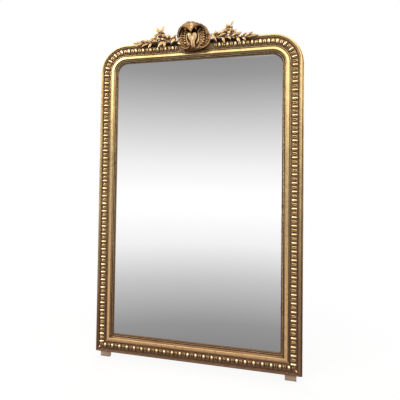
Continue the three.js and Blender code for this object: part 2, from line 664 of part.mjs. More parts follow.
const rightSpray = {
  stem: [[80, SPRAY_DEPTH, -13], [118, SPRAY_DEPTH, -5], [160, SPRAY_DEPTH, -6],
    [205, SPRAY_DEPTH, -13], [250, SPRAY_DEPTH, -16]],
  leaves: [
    { base: [74, SPRAY_DEPTH + 4, 12], tip: [101, OVER_ROW + 2, -34], width: 15 },
    { base: [86, SPRAY_DEPTH, -4], tip: [98, SPRAY_DEPTH + 4, 23], width: 14 },
    { base: [104, SPRAY_DEPTH, -6], tip: [146, SPRAY_DEPTH + 2, 28], width: 22 },
    { base: [110, SPRAY_DEPTH + 4, -8], tip: [142, SPRAY_DEPTH + 6, 4], width: 16 },
    { base: [106, SPRAY_DEPTH, -2], tip: [118, SPRAY_DEPTH + 4, 18], width: 12 },
    { base: [128, SPRAY_DEPTH + 3, -4], tip: [135, OVER_ROW + 2, -46], width: 13 },
    { base: [152, SPRAY_DEPTH + 3, -6], tip: [165, OVER_ROW + 2, -30], width: 12 },
    { base: [176, SPRAY_DEPTH, -8], tip: [189, SPRAY_DEPTH, 23], width: 13 },
    { base: [166, SPRAY_DEPTH + 2, -8], tip: [198, SPRAY_DEPTH + 6, -2], width: 15 },
    { base: [184, SPRAY_DEPTH, -12], tip: [213, SPRAY_DEPTH + 2, 7], width: 14 },
    { base: [192, SPRAY_DEPTH + 3, -12], tip: [207, OVER_ROW + 3, -52], width: 14 },
    { base: [208, SPRAY_DEPTH, -16], tip: [237, SPRAY_DEPTH + 3, 1], width: 14 },
    { base: [216, SPRAY_DEPTH + 2, -15], tip: [232, OVER_ROW + 2, -40], width: 12 },
    { base: [230, SPRAY_DEPTH, -17], tip: [263, SPRAY_DEPTH + 4, 2], width: 14 },
    { base: [230, SPRAY_DEPTH, -18], tip: [289, SPRAY_DEPTH, -12], width: 18 },
  ],
  flower: { at: [152, SPRAY_DEPTH + 6, 20], petals: [
    { to: [141, SPRAY_DEPTH + 2, 50], width: 12 },
    { to: [178, SPRAY_DEPTH, 62], width: 10 },
    { to: [153, SPRAY_DEPTH + 10, 45], width: 14 },
    { to: [175, SPRAY_DEPTH + 6, 15], width: 15 },
    { to: [131, SPRAY_DEPTH + 6, 13], width: 13 },
    { to: [159, SPRAY_DEPTH + 4, -5], width: 14 },
  ] },
  berries: [[110, -14], [143, -14], [178, -18], [190, -16], [243, -20]],
};

// The stem, its leaves and its berries, carved as one.
function sprayBranch(spray, grow = 0) {
  const stem = rod(spray.stem, STEM_RADIUS, STEM_TIP, 8, 6, grow);
  const berries = spray.berries.map(([x, z]) => (
    ball([x, SPRAY_DEPTH + STEM_RADIUS, z], BERRY_RADIUS + grow)));
  return joined([stem, ...spray.leaves.map((each) => leaf(each, grow)), ...berries]);
}

// A flower with pointed petals round a button.
function sprayFlower({ at, petals }, grow = 0) {
  const [x, depth, z] = at;
  const around = petals.map(({ to, width }) => (
    leaf({ base: [x, depth, z], tip: to, width, bow: 4 }, grow)));
  return joined([ball([x, depth + BUTTON_RISE, z], BUTTON_RADIUS + grow), ...around]);
}

// What is left of a carving when its neighbours are let into it: its largest piece.
function fitted(carving, ...neighbours) {
  const cut = neighbours.reduce((rest, neighbour) => rest.subtract(neighbour), carving);
  const pieces = cut.decompose().sort((a, b) => b.volume() - a.volume());
  return toGeometry(pieces[0]);
}

// ---- Ring hangers -------------------------------------------------------------------------

// A strap folded round the ring's bar: a flat tail below a round eye, seen from the side.
function hangerStrap() {
  const s = new THREE.Shape();
  const start = Math.asin((EYE_RADIUS - STRAP_THICKNESS) / EYE_RADIUS);
  s.moveTo(0, -STRAP_LENGTH);
  s.lineTo(STRAP_THICKNESS, -STRAP_LENGTH);
  s.lineTo(STRAP_THICKNESS, -EYE_RADIUS * Math.cos(start));
  s.absarc(EYE_RADIUS, 0, EYE_RADIUS, -Math.PI / 2 - start, Math.PI, false);
  s.closePath();
  const eye = new THREE.Path();
  eye.absarc(EYE_RADIUS, 0, RING_WIRE + RING_PLAY, 0, 2 * Math.PI, true);
  s.holes.push(eye);
  const body = new THREE.ExtrudeGeometry(s, {
    depth: STRAP_WIDTH, bevelEnabled: false, curveSegments: 8,
  });
  return reshape(body, (p) => new THREE.Vector3(p.z - STRAP_WIDTH / 2, p.x, p.y));
}

// A ring of wire with a straight bar along its top, hanging from the bar.
function hangerRing() {
  const half = RING_WIDTH / 2;
  const body = new THREE.TorusGeometry(1, 0.5, 6, 24);
  const bend = (angle) => new THREE.Vector2(
    half * Math.sign(Math.cos(angle)) * Math.abs(Math.cos(angle)) ** 0.55,
    Math.sin(angle) > 0 ? 0 : RING_DROP * Math.sin(angle),
  );
  return reshape(body, (p) => {
    const angle = Math.atan2(p.y, p.x);
    const out = (Math.hypot(p.x, p.y) - 1) / 0.5;
    const on = bend(angle);
    const step = bend(angle + 0.01).sub(bend(angle - 0.01)).normalize();
    return new THREE.Vector3(
      on.x + step.y * out * RING_WIRE,
      p.z / 0.5 * RING_WIRE,
      on.y - step.x * out * RING_WIRE,
    );
  });
}

// The domed head of a screw in the strap.
function screwHead() {
  const dome = [[0, 0], [1, 0], [0.7, 0.8], [0, 1]].map(([r, h]) => (
    new THREE.Vector2(r * SCREW_RADIUS, h * SCREW_HEIGHT)));
  return closed(new THREE.LatheGeometry(dome, 10));
}

// ---- The whole ----------------------------------------------------------------------------

const frame = new THREE.Group();
frame.position.z = FOOT_HEIGHT;

function add(name, geometry, material, parent = frame) {
  const mesh = new THREE.Mesh(geometry, material);
  mesh.name = name;
  parent.add(mesh);
  return mesh;
}

const SIDES = [['left', -1], ['right', 1]];

const moulding = mouldingSection();
const pearl = pearlSection();
const arch = ornamentArch();

for (const [name, side] of SIDES) {
  add(`stile_${name}`, member(moulding, onStile(side)), gilding);
  add(`corner_${name}`, member(moulding, onCorner(side), TURNS), gilding);
  add(`ornament_${name}`, toGeometry(arch[name]), burnished);
  add(`ornament_corner_${name}`, toGeometry(arch[`corner_${name}`]), burnished);
  add(`ornament_mitre_${name}`, ornamentMitre(side), burnished);
  add(`sight_bead_${name}`, member(pearl, onStile(side)), antique);
  add(`sight_bead_corner_${name}`, member(pearl, onCorner(side), TURNS), antique);
  add(`glazing_slip_${name}`, glazingSlip(onStile(side)), pine);
}
add('rail_bottom', member(moulding, onBottomRail), gilding);
add('rail_top', member(moulding, onTopRail), gilding);
add('ornament_bottom', toGeometry(ornamentBottom()), burnished);
add('ornament_top', toGeometry(arch.top), burnished);
add('sight_bead_bottom', member(pearl, onBottomRail), antique);
add('sight_bead_top', member(pearl, onTopRail), antique);
add('glazing_slip_bottom', glazingSlip(onBottomRail), pine);
add('glazing_slip_top', glazingSlip(onTopRail), pine);

const glassOutline = archedOutline(GLASS_EDGE + GLASS_PLAY);
add('mirror_plate', plate(glassOutline, GLASS_BACK, GLASS_THICKNESS), silvered);
for (let row = 0; row < BOARD_COUNT; row += 1) {
  add(`backboard_${row + 1}`, backBoard(row), pine);
}

for (const [name, side] of SIDES) {
  const foot = add(`foot_${name}`, closed(new THREE.BoxGeometry(FOOT_WIDTH, FOOT_DEPTH, FOOT_HEIGHT)), pine);
  const x = HALF_WIDTH - FOOT_INSET - FOOT_WIDTH / 2;
  foot.position.set(side * x, -FOOT_BACK - FOOT_DEPTH / 2, -FOOT_HEIGHT / 2);
}

const crest = new THREE.Group();
crest.position.z = FRAME_HEIGHT;
frame.add(crest);

const cartouche = new THREE.Group();
cartouche.position.x = CREST_OFFSET;
crest.add(cartouche);

const bed = behind(RIDGE_DEPTH, 0);
const groundFace = behind(CREST_FRONT, CREST_RADIUS);
add('crest_ground', fitted(toSolid(crestGround()), bed), antique, cartouche);
add('crest_hood', fitted(toSolid(crestHood()), bed), antique, cartouche);
const shield = add('crest_shield', crestShield(), gilding, cartouche);
shield.position.x = (SHIELD_TOP - SHIELD_HEIGHT - TONGUE_LENGTH) * SHIELD_LEAN;
for (const [name, side] of SIDES) {
  const spray = side < 0 ? leftSpray : rightSpray;
  add(`crest_scroll_${name}`, fitted(toSolid(crestScroll(side)), groundFace), antique, cartouche);
  add(`crest_pearls_${name}`, crestPearls(side), burnished, cartouche);
  add(`crest_branch_${name}`, fitted(sprayBranch(spray), bed), antique, crest);
  const around = sprayBranch(spray, SEAT_GAP);
  add(`crest_flower_${name}`, fitted(sprayFlower(spray.flower), bed, around), gilding, crest);
}

for (const [name, side] of SIDES) {
  const hanger = new THREE.Group();
  hanger.position.set(side * (HALF_WIDTH - HANGER_INSET), 0, HANGER_HEIGHT);
  frame.add(hanger);
  add(`hanger_strap_${name}`, hangerStrap(), iron, hanger);
  for (const i of [1, 2]) {
    const screw = add(`hanger_screw_${name}_${i}`, screwHead(), iron, hanger);
    screw.position.set(0, STRAP_THICKNESS, -SCREW_FIRST - (i - 1) * SCREW_PITCH);
  }
  const ring = add(`hanger_ring_${name}`, hangerRing(), iron, hanger);
  ring.position.y = EYE_RADIUS;
}

// The origin lies under the middle of the object, level with the undersides of its feet.
const mirror = new THREE.Group();
mirror.name = 'overmantel_mirror';
mirror.add(frame);
mirror.updateMatrixWorld(true);
const bounds = new THREE.Box3().setFromObject(mirror, true);
frame.position.y = -(bounds.min.y + bounds.max.y) / 2;
mirror.updateMatrixWorld(true);

export default mirror;
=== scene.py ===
"""Dresses the frame of an arched gilt overmantel mirror."""

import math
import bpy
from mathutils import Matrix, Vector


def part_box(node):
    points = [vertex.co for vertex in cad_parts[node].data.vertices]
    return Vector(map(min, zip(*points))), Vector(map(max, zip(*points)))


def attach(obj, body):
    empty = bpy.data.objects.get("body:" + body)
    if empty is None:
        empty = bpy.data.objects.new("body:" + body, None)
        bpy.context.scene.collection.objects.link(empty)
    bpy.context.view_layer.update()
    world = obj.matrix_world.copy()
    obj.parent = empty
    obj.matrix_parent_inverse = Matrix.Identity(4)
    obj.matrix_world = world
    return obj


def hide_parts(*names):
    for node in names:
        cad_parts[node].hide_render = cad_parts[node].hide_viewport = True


bl_info = {
    "name": "Overmantel Mirror",
    "version": (1, 0, 0),
    "blender": (4, 5, 0),
    "location": "3D View > Sidebar > Mirror",
    "description": "Gilding, carving, glass, boards and stage for an arched overmantel mirror",
    "category": "Object",
}

import bmesh
import bpy
import numpy as np
from bpy.props import FloatProperty, FloatVectorProperty, IntProperty, PointerProperty
from bpy.types import Operator, Panel, PropertyGroup
from mathutils import Matrix, Vector

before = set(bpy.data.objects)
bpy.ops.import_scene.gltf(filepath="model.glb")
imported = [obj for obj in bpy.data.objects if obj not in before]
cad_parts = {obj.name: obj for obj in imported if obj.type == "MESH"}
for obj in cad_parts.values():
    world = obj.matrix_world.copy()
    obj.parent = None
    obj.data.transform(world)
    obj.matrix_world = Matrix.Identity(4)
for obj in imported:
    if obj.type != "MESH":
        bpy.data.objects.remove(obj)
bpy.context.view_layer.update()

# ---- Sizes in millimetres: some are read from the frame, and the rest are the scene's own

MM = 0.001
BODY = "mirror"
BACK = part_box("stile_left")[1].y / MM
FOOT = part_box("foot_left")[1].z / MM
HALF_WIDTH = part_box("stile_right")[1].x / MM
FRAME_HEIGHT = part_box("rail_top")[1].z / MM - FOOT
ARCH_RADIUS = HALF_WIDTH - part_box("rail_top")[1].x / MM
SPRINGING = FRAME_HEIGHT - ARCH_RADIUS
SEAT_GAP = 0.3

LIP_WIDTH, LIP_DEPTH = 4.5, 21.5
RIDGE_START, RIDGE_WIDTH, RIDGE_DEPTH = 7.2, 11.0, 40.5
CHANNEL_START, CHANNEL_END, CHANNEL_DEPTH, CHANNEL_LIP = 21.5, 56.5, 30.6, 34.4
CHANNEL_COVE = 3.4
TORUS_START, TORUS_END, TORUS_DEPTH = 63.0, 77.2, 38.0
SLOPE_END, SLOPE_DEPTH, SLOPE_DROP = 80.4, 27.6, 1.2
BEAD_SEAT_END, BEAD_SEAT_DEPTH = 89.8, 22.4
MEMBER_WIDTH, SIGHT_BACK = 91.9, 18.3
GLASS_EDGE, BOARD_EDGE, BOARD_REBATE_DEPTH = 83.4, 71.4, 9.0
ORNAMENT_INSET = (CHANNEL_START + CHANNEL_END) / 2

# Plate, boards and hangers
GLASS_THICKNESS, GLASS_PLAY = 4.0, 0.6
BOARD_THICKNESS, BOARD_JOINT = 7.5, 1.5
HANGER_INSET, HANGER_HEIGHT = 36.0, 1130.0
SCREW_FIRST, SCREW_PITCH = 15.0, 29.0
EYE_MIDDLE, EYE_RADIUS = 4.4, 3.3
RING_WIRE, RING_HALF_WIDTH, RING_DROP = 1.75, 20.0, 27.0

# Along the middle of the channel: up a stile, round a corner, across the top, and the whole arch
ROW_RISE = SPRINGING - ORNAMENT_INSET
ROW_TURN = (ARCH_RADIUS - ORNAMENT_INSET) * math.pi / 2
ROW_TOP = 2 * (HALF_WIDTH - ARCH_RADIUS)
ROW_ARCH = 2 * (ROW_RISE + ROW_TURN) + ROW_TOP

# Crest: the cartouche's axis, centre and radius, and the depths of its parts
CREST_AXIS, CREST_CENTRE, CREST_RADIUS = -3.0, 2.0, 76.0
HOOD_AXIS, HOOD_RADIUS = CREST_AXIS - 7.0, CREST_RADIUS + 2.0
CREST_BACK, CREST_FRONT = 8.0, 51.0
CREST_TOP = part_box("crest_hood")[1].z / MM - FOOT - FRAME_HEIGHT
CREST_PEARLS, CREST_PEARL_PITCH, CREST_PEARL_INSET = 6, 11.2, 46.0
HOOD_SHOULDER, HOOD_REACH, HOOD_THICKNESS = 45.0, 80.0, 6.0
HOOD_LEAN, HOOD_RIBS = -0.25, 9
SPRAY_DEPTH = RIDGE_DEPTH + SEAT_GAP + 3.5


# ---- Node trees written as expressions


class Field:
    """A quantity that varies over a surface. Arithmetic on it adds Math nodes to its tree."""

    def __init__(self, graph, socket):
        self.graph = graph
        self.socket = socket

    def _math(self, operation, *values, clamp=False):
        settings = {"operation": operation, "use_clamp": clamp}
        return self.graph.node("ShaderNodeMath", settings, dict(enumerate(values)))

    def __add__(self, other):
        return self._math("ADD", self, other)

    __radd__ = __add__

    def __sub__(self, other):
        return self._math("SUBTRACT", self, other)

    def __rsub__(self, other):
        return self._math("SUBTRACT", other, self)

    def __mul__(self, other):
        return self._math("MULTIPLY", self, other)

    __rmul__ = __mul__

    def __truediv__(self, other):
        return self._math("DIVIDE", self, other)

    def __abs__(self):
        return self._math("ABSOLUTE", self)

    def at_most(self, other):
        return self._math("MINIMUM", self, other)

    def at_least(self, other):
        return self._math("MAXIMUM", self, other)

    def clipped(self):
        return self._math("ADD", self, 0.0, clamp=True)

    def between(self, low, high):
        """0 below low, 1 above high and a smooth step between them."""
        return self.graph.node(
            "ShaderNodeMapRange",
            {"interpolation_type": "SMOOTHSTEP"},
            {"Value": self, "From Min": low, "From Max": high},
        )


class Graph:
    """A node tree that is filled by calls and expressions."""

    def __init__(self, tree):
        self.tree = tree

    def node(self, kind, settings=None, inputs=None, out=0):
        """Adds a node, sets it up and returns the field that leaves its output."""
        made = self.tree.nodes.new(kind)
        for key, value in (settings or {}).items():
            if key == "stops":
                self._stops(made.color_ramp, value)
            else:
                setattr(made, key, value)
        for key, value in (inputs or {}).items():
            self.feed(made.inputs[key], value)
        return Field(self, made.outputs[out])

    def feed(self, socket, value):
        if isinstance(value, Field):
            self.tree.links.new(value.socket, socket)
        elif socket.type == "RGBA" and len(value) == 3:
            socket.default_value = (*value, 1.0)
        else:
            socket.default_value = value

    def _stops(self, ramp, stops):
        while len(ramp.elements) < len(stops):
            ramp.elements.new(0.5)
        for element, (place, colour) in zip(ramp.elements, stops):
            element.position = place
            element.color = (*colour, 1.0)

    def noise(self, where, scale, detail=3.0, roughness=0.55):
        inputs = {"Vector": where, "Scale": scale, "Detail": detail, "Roughness": roughness}
        return self.node("ShaderNodeTexNoise", None, inputs)

    def mixed(self, factor, first, second, blend="MIX"):
        """One colour turning into another."""
        made = self.tree.nodes.new("ShaderNodeMix")
        made.data_type, made.blend_type = "RGBA", blend
        for index, value in ((0, factor), (6, first), (7, second)):
            self.feed(made.inputs[index], value)
        return Field(self, made.outputs[2])

    def stretched(self, where, factors):
        return self.node("ShaderNodeVectorMath", {"operation": "MULTIPLY"}, {0: where, 1: factors})

    def parts(self, vector):
        """The three numbers of a vector."""
        made = self.tree.nodes.new("ShaderNodeSeparateXYZ")
        self.feed(made.inputs[0], vector)
        return [Field(self, output) for output in made.outputs]


class Finish(Graph):
    """A material under construction: one shader and what varies over it."""

    def __init__(self, name, **constants):
        self.material = bpy.data.materials.new(name)
        self.material.use_nodes = True
        super().__init__(self.material.node_tree)
        self.shader = self.tree.nodes["Principled BSDF"]
        self.vary(**constants)
        self.where = self.node("ShaderNodeTexCoord", out="Object")

    def vary(self, **values):
        """Feeds the shader's sockets, named in lower case with underscores."""
        sockets = {socket.name.lower().replace(" ", "_"): socket for socket in self.shader.inputs}
        for key, value in values.items():
            self.feed(sockets[key], value)

    def relief(self, height, distance, strength=1.0, under=None):
        """A bump from a height between 0 and 1, worth that many metres."""
        inputs = {"Height": height, "Distance": distance, "Strength": strength}
        if under:
            inputs["Normal"] = under
        return self.node("ShaderNodeBump", None, inputs)

    def recess(self, distance):
        """1 deep in a hollow, 0 in the open."""
        settings, inputs = {"samples": 6}, {"Distance": distance}
        return 1 - self.node("ShaderNodeAmbientOcclusion", settings, inputs, out=1)

    def edge(self):
        """About 0.5 on the flat, above it on a crest and below it in a hollow."""
        return self.node("ShaderNodeNewGeometry", out="Pointiness")

    def stored(self, name):
        return self.node("ShaderNodeAttribute", {"attribute_name": name}, out="Fac")


# ---- Mesh tools


class Body:
    """Closed shells gathered into one mesh, in millimetres."""

    def __init__(self):
        self.points = []
        self.faces = []
        self.marks = {}
        self.count = 0

    def join(self, shell, **marks):
        """Adds points and faces. A mark is one number for them or one for each point."""
        points, faces = shell
        for name, values in marks.items():
            spread = np.broadcast_to(np.ravel(values), len(points))
            self.marks.setdefault(name, []).append((self.count, spread))
        self.points.append(points)
        self.faces.extend([[i + self.count for i in face] for face in faces])
        self.count += len(points)
        return self


def lattice(points, ends=True):
    """Quads between rows of points that close on themselves, with a flat cap at each end."""
    rows, columns = points.shape[:2]
    faces = []
    for i in range(rows - 1):
        low, high = i * columns, (i + 1) * columns
        for j in range(columns):
            k = (j + 1) % columns
            faces.append([low + j, low + k, high + k, high + j])
    if ends:
        faces.append(list(range(columns))[::-1])
        faces.append([(rows - 1) * columns + j for j in range(columns)])
    return points.reshape(-1, 3), faces


def make(name, body, finish, replaced, crease=40.0, rides=BODY):
    """One object from a body, with its material and the frame's nodes it stands for."""
    mesh = bpy.data.meshes.new(name)
    mesh.from_pydata((np.concatenate(body.points) * MM).tolist(), [], body.faces)
    for mark, spans in body.marks.items():
        values = np.zeros(body.count, np.float32)
        for start, spread in spans:
            values[start:start + len(spread)] = spread
        mesh.attributes.new(mark, "FLOAT", "POINT").data.foreach_set("value", values)
    work = bmesh.new()
    work.from_mesh(mesh)
    bmesh.ops.recalc_face_normals(work, faces=work.faces)
    work.to_mesh(mesh)
    work.free()
    mesh.shade_smooth()
    mesh.set_sharp_from_angle(angle=math.radians(crease))
    mesh.materials.append(finish)
    piece = bpy.data.objects.new(name, mesh)
    bpy.context.scene.collection.objects.link(piece)
    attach(piece, rides)
    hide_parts(*replaced)


def bend(start, first, second, end, steps):
    """Points of a curve with two handles, without its first point."""
    t = np.linspace(0, 1, steps + 1)[1:, None]
    a, b, c, d = (np.asarray(p, float) for p in (start, first, second, end))
    curve = a * (1 - t) ** 3 + 3 * b * t * (1 - t) ** 2 + 3 * c * t**2 * (1 - t) + d * t**3
    return curve.tolist()


def arc(start, handle, end, steps):
    """Points of a curve with one handle, without its first point."""
    a, b, c = (np.asarray(p, float) for p in (start, handle, end))
    return bend(a, a + (b - a) * 2 / 3, c + (b - c) * 2 / 3, c, steps)


def smooth(points, steps):
    """An even curve through the given points."""
    p = np.asarray(points, float)
    p = np.concatenate([[2 * p[0] - p[1]], p, [2 * p[-1] - p[-2]]])
    t = np.linspace(0, len(p) - 3, steps + 1)
    i = np.minimum(t.astype(int), len(p) - 4)
    u = (t - i)[:, None]
    a, b, c, d = p[i], p[i + 1], p[i + 2], p[i + 3]
    square, cube = 2 * a - 5 * b + 4 * c - d, 3 * b - a - 3 * c + d
    return 0.5 * (2 * b + (c - a) * u + square * u**2 + cube * u**3)


def unit(vectors):
    return vectors / np.linalg.norm(vectors, axis=-1, keepdims=True)


def hump(away, width):
    """1 in the middle, falling away on both sides."""
    return np.exp(-((away / width) ** 2))


def ramp(value, start, length):
    """0 up to start, 1 after its length, and straight between."""
    return np.clip((value - start) / length, 0, 1)


def around(count):
    """Even angles round a circle."""
    return np.linspace(0, 2 * math.pi, count, endpoint=False)


def stacked(rings, count):
    """Circles of points about an upright axis, from the radius and height of each."""
    angle = around(count)
    out, up = (np.array(values, float)[:, None] for values in zip(*rings))
    return np.stack([out * np.cos(angle), out * np.sin(angle), up + 0 * angle], axis=-1)


FORWARD = np.array([0.0, -1.0, 0.0])


def tube(points, radius, sides=12, press=1.0, groove=0.0):
    """A round body along a curve. It may taper, lie flat, and carry a groove along its front."""
    p = np.asarray(points, float)
    along = unit(np.gradient(p, axis=0))
    across = unit(np.cross(along, FORWARD))
    front = np.cross(across, along)
    angle = around(sides)
    sunk = 1 - groove * hump(angle - math.pi / 2, 0.45)
    out = across[:, None] * np.cos(angle)[:, None]
    forward = front[:, None] * (press * np.sin(angle) * sunk)[:, None]
    reach = np.broadcast_to(radius, len(p))[:, None, None]
    return lattice(p[:, None] + (out + forward) * reach)


def ball(centre, radii, spokes=14, rings=9):
    """An ellipsoid: across, forward and upward radii about a centre."""
    turn = np.linspace(-math.pi / 2, math.pi / 2, rings)
    turn[0], turn[-1] = -1.5, 1.5
    shape = stacked([(math.cos(a), math.sin(a)) for a in turn], spokes)[..., [0, 2, 1]]
    return lattice(np.asarray(centre, float) + shape * np.asarray(radii, float))


def blade(base, tip, width, bow=6.0, fold=0.25, teeth=4, curl=2.5):
    """A carved leaf: notched edge, sunk midrib, raised side veins, bowed forward."""
    span = tip - base
    sideways = unit(np.cross(span, FORWARD))
    outward = unit(np.cross(sideways, span))
    u = np.linspace(0, 1, 22)[:, None]
    v = np.linspace(-1, 1, 11)[None, :]
    notch = 1 - 0.3 * ((teeth * u + 0.02) % 1.0) ** 2 * np.sin(math.pi * np.clip(u * 1.1, 0, 1))
    half = 0.52 * width * np.sin(math.pi * np.clip(u, 0.004, 0.996) ** 0.8) ** 0.85 * notch
    x = v * half
    rib = -1.1 * hump(v, 0.16) * np.sin(math.pi * u) ** 0.5
    vein = 0.6 * np.cos(2 * math.pi * (teeth * u - 0.8 * abs(v))) * abs(v) * (1.15 - abs(v)) * 2
    lift = bow * 4 * u * (1 - u) + curl * u**3 - abs(x) * fold + rib + vein * np.sin(math.pi * u)
    thick = 0.5 + 1.6 * (1 - v**2) * np.sin(math.pi * u) ** 0.5
    middle = base + span * u[..., None] + sideways * x[..., None]
    top = middle + outward * (lift + thick)[..., None]
    bottom = middle + outward * (lift - thick)[..., None]
    return lattice(np.concatenate([top, bottom[:, ::-1]], axis=1))


# ---- The runs of the frame


def spot(across, depth, height):
    """Points of the frame: across, forward of the back, up from the bottom edge."""
    across, depth, height = np.broadcast_arrays(across, depth, height)
    return np.stack([across, BACK - depth, FOOT + height], axis=-1).astype(float)


def on_stile(side):
    def place(inset, depth, t):
        return spot(side * (HALF_WIDTH - inset), depth, inset + (SPRINGING - inset) * t)

    return place


def on_bottom(inset, depth, t):
    return spot((inset - HALF_WIDTH) * (1 - 2 * t), depth, inset)


def on_top(inset, depth, t):
    return spot((ARCH_RADIUS - HALF_WIDTH) * (1 - 2 * t), depth, FRAME_HEIGHT - inset)


def on_corner(side):
    def place(inset, depth, t):
        turn, radius = t * math.pi / 2, ARCH_RADIUS - inset
        across = side * (HALF_WIDTH - ARCH_RADIUS + radius * np.cos(turn))
        return spot(across, depth, SPRINGING + radius * np.sin(turn))

    return place


def on_arch(inset, depth, along):
    """A place on the arch, by its distance along the channel from the foot of the left stile."""
    inset, depth, along = np.broadcast_arrays(inset, depth, along)
    side = np.where(along < ROW_ARCH / 2, -1.0, 1.0)
    climbed = np.minimum(along, ROW_ARCH - along)
    turn = ramp(climbed, ROW_RISE, ROW_TURN) * math.pi / 2
    radius = ARCH_RADIUS - inset
    straight = inset + (SPRINGING - inset) * climbed / ROW_RISE
    height = np.where(climbed < ROW_RISE, straight, SPRINGING + radius * np.sin(turn))
    inward = np.maximum(climbed - ROW_RISE - ROW_TURN, 0)
    across = HALF_WIDTH - ARCH_RADIUS + radius * np.cos(turn) - inward
    return spot(side * across, depth, height)


def crest_spot(across, depth, height):
    """Points of the crest: across, forward of the frame's back, up from the frame's top edge."""
    return spot(across, depth, FRAME_HEIGHT + np.asarray(height, float))


RUNS = {
    "stile_left": (on_stile(-1), 90),
    "stile_right": (on_stile(1), 90),
    "rail_bottom": (on_bottom, 60),
    "rail_top": (on_top, 150),
    "corner_left": (on_corner(-1), 40),
    "corner_right": (on_corner(1), 40),
}


def swept(section, place, stations):
    """A closed section of (inset, depth) points carried along a run."""
    outline = np.asarray(section, float)
    t = np.linspace(0, 1, stations)[:, None]
    points = place(outline[None, :, 0], outline[None, :, 1], t)
    shell = lattice(points)
    middle = place(ORNAMENT_INSET, 0.0, t[:, 0])
    along = np.concatenate([[0], np.cumsum(np.linalg.norm(np.diff(middle, axis=0), axis=1))])
    marks = {
        "run": np.repeat(along * MM, len(outline)),
        "inset": np.tile(outline[:, 0] * MM, stations),
    }
    return shell, marks


# ---- Finishes

CRACK = 0.0016
# Near black for painted shadow
SHADOW_BLACK = (0.010, 0.005, 0.003)


def gilding(name, leaf, deep, shine=0.3, age=1.0, reach=0.012, low=1.0):
    """Leaf over red clay: cloudy, rubbed on the crests, cracked, dark with patina and painted shade
    in the hollows, painted darker low down, and painted near black in shadow.
    """
    c = bpy.context.scene.mirror_colours
    f = Finish(name)
    cloud = f.noise(f.where, 7.0, 3.0)
    blotch = f.noise(f.where, 60.0, 5.0, 0.6)
    grain = f.noise(f.where, 900.0, 2.0)
    speck = f.noise(f.where, 320.0, 3.0, 0.7)
    run, inset = f.stored("run"), f.stored("inset")
    _, inward, rise = f.parts(f.where)
    _, turned, _ = f.parts(f.node("ShaderNodeNewGeometry", out="Normal"))

    # Where the clay shows, and where dust, wax and painted shade lie
    rubbed = (f.edge() + 0.22 * (blotch - 0.5)).between(0.55, 0.63) * age
    worn = (speck * 0.6 + blotch * 0.4).between(0.59, 0.67) * 0.5 * age
    red = (rubbed + worn + f.stored("wear") * 1.3).clipped()
    # Dust and painted shade: the stored mark darkens hollows, creases, seats and parts lying in
    # shadow
    grime = f.stored("grime") * (0.75 + 0.5 * blotch)
    # Painted shade: an occlusion node darkens the hollows, where shade falls
    hollow = (f.recess(reach) * (0.9 + 0.5 * blotch)).between(0.16, 0.8)
    dirt_and_shade = (hollow + grime).clipped()

    # Hair cracks across the mouldings, which alone have a run
    spread = f.node("ShaderNodeCombineXYZ", None, {0: run * 55.0, 1: inset * 9.0})
    split = abs(f.noise(spread, 1.0, 4.0, 0.6) - 0.5)
    crack = (CRACK - split).between(0.0, CRACK) * run.between(0.0, 0.001)

    # Painted shade: low down the leaf is darkened toward the floor, by as much as low says; and it
    # is matt and warm low on the torus
    across = inset / MM
    torus = across.between(TORUS_START, TORUS_START + 1.5)
    torus = torus * (1 - across.between(TORUS_END - 1.5, TORUS_END))
    matt = torus * (1 - rise.between(0.25, 1.15)) * (0.55 + 0.45 * blotch)
    tone = f.mixed((cloud * 0.7 + blotch * 0.3).between(0.3, 0.7), deep, leaf)
    tone = f.mixed(red * 0.7, tone, c.bole)
    tone = f.mixed((1.0 - rise.between(0.05, 0.85)) * low, tone, c.low_tone, "MULTIPLY")
    tone = f.mixed(matt, tone, c.warm_leaf)
    tone = f.mixed((dirt_and_shade + 0.6 * crack).clipped(), tone, c.patina_and_shade)
    # Painted shadow: where the marks pass 1 the leaf turns near black
    tone = f.mixed((grime - 1.0).clipped(), tone, SHADOW_BLACK)

    # Bare wood on the back, and wherever else the wood faces backward
    back = inward.between(BACK * MM - 0.0012, BACK * MM - 0.0007)
    bare = back.at_least(turned.between(0.7, 0.9))
    grained = f.noise(f.stretched(f.where, (1.0, 1.0, 0.08)), 150.0, 4.0)
    wood = f.mixed(grained, (0.26, 0.15, 0.075), (0.14, 0.075, 0.035))
    relief = f.relief(cloud, 0.004, 0.35)
    for height, distance, strength in (
        (blotch, 0.0009, 0.5), (1.0 - crack, 0.0005, 0.7), (grain, 0.0002, 0.6),
    ):
        relief = f.relief(height, distance, strength, relief)
    f.vary(
        base_color=f.mixed(bare, tone, wood),
        metallic=(1.0 - 0.5 * red - 0.85 * dirt_and_shade - 0.75 * matt).clipped() * (1.0 - bare),
        roughness=(shine + 0.16 * blotch + 0.3 * red + 0.36 * dirt_and_shade + 0.5 * bare).at_most(0.88),
        normal=relief,
    )
    return f.material


def pine_wood(name, light, dark):
    """Old sawn pine, its grain level, brown with dust and age, with painted shade in its recesses.
    """
    f = Finish(name, metallic=0.0, roughness=0.8)
    bent = f.noise(f.where, 3.0, 2.0)
    stretched = f.stretched(f.where, (0.06, 1.0, 1.0))
    rings = f.noise(stretched, 130.0, 4.0, 0.6)
    fibre = f.noise(stretched, 900.0, 2.0)
    stain = f.noise(f.where, 9.0, 4.0)
    tone = f.mixed((rings * 0.7 + bent * 0.3).between(0.35, 0.7), light, dark)
    tone = f.mixed(stain.between(0.45, 0.8) * 0.5, tone, [c * 0.45 for c in dark])
    # Painted shade: an occlusion node darkens the recesses near black
    tone = f.mixed(f.recess(0.01) * 0.8, tone, (0.02, 0.013, 0.008))
    f.vary(
        base_color=tone,
        roughness=0.68 + 0.2 * fibre,
        normal=f.relief(rings * 0.6 + fibre * 0.4, 0.0006, 0.6),
    )
    return f.material


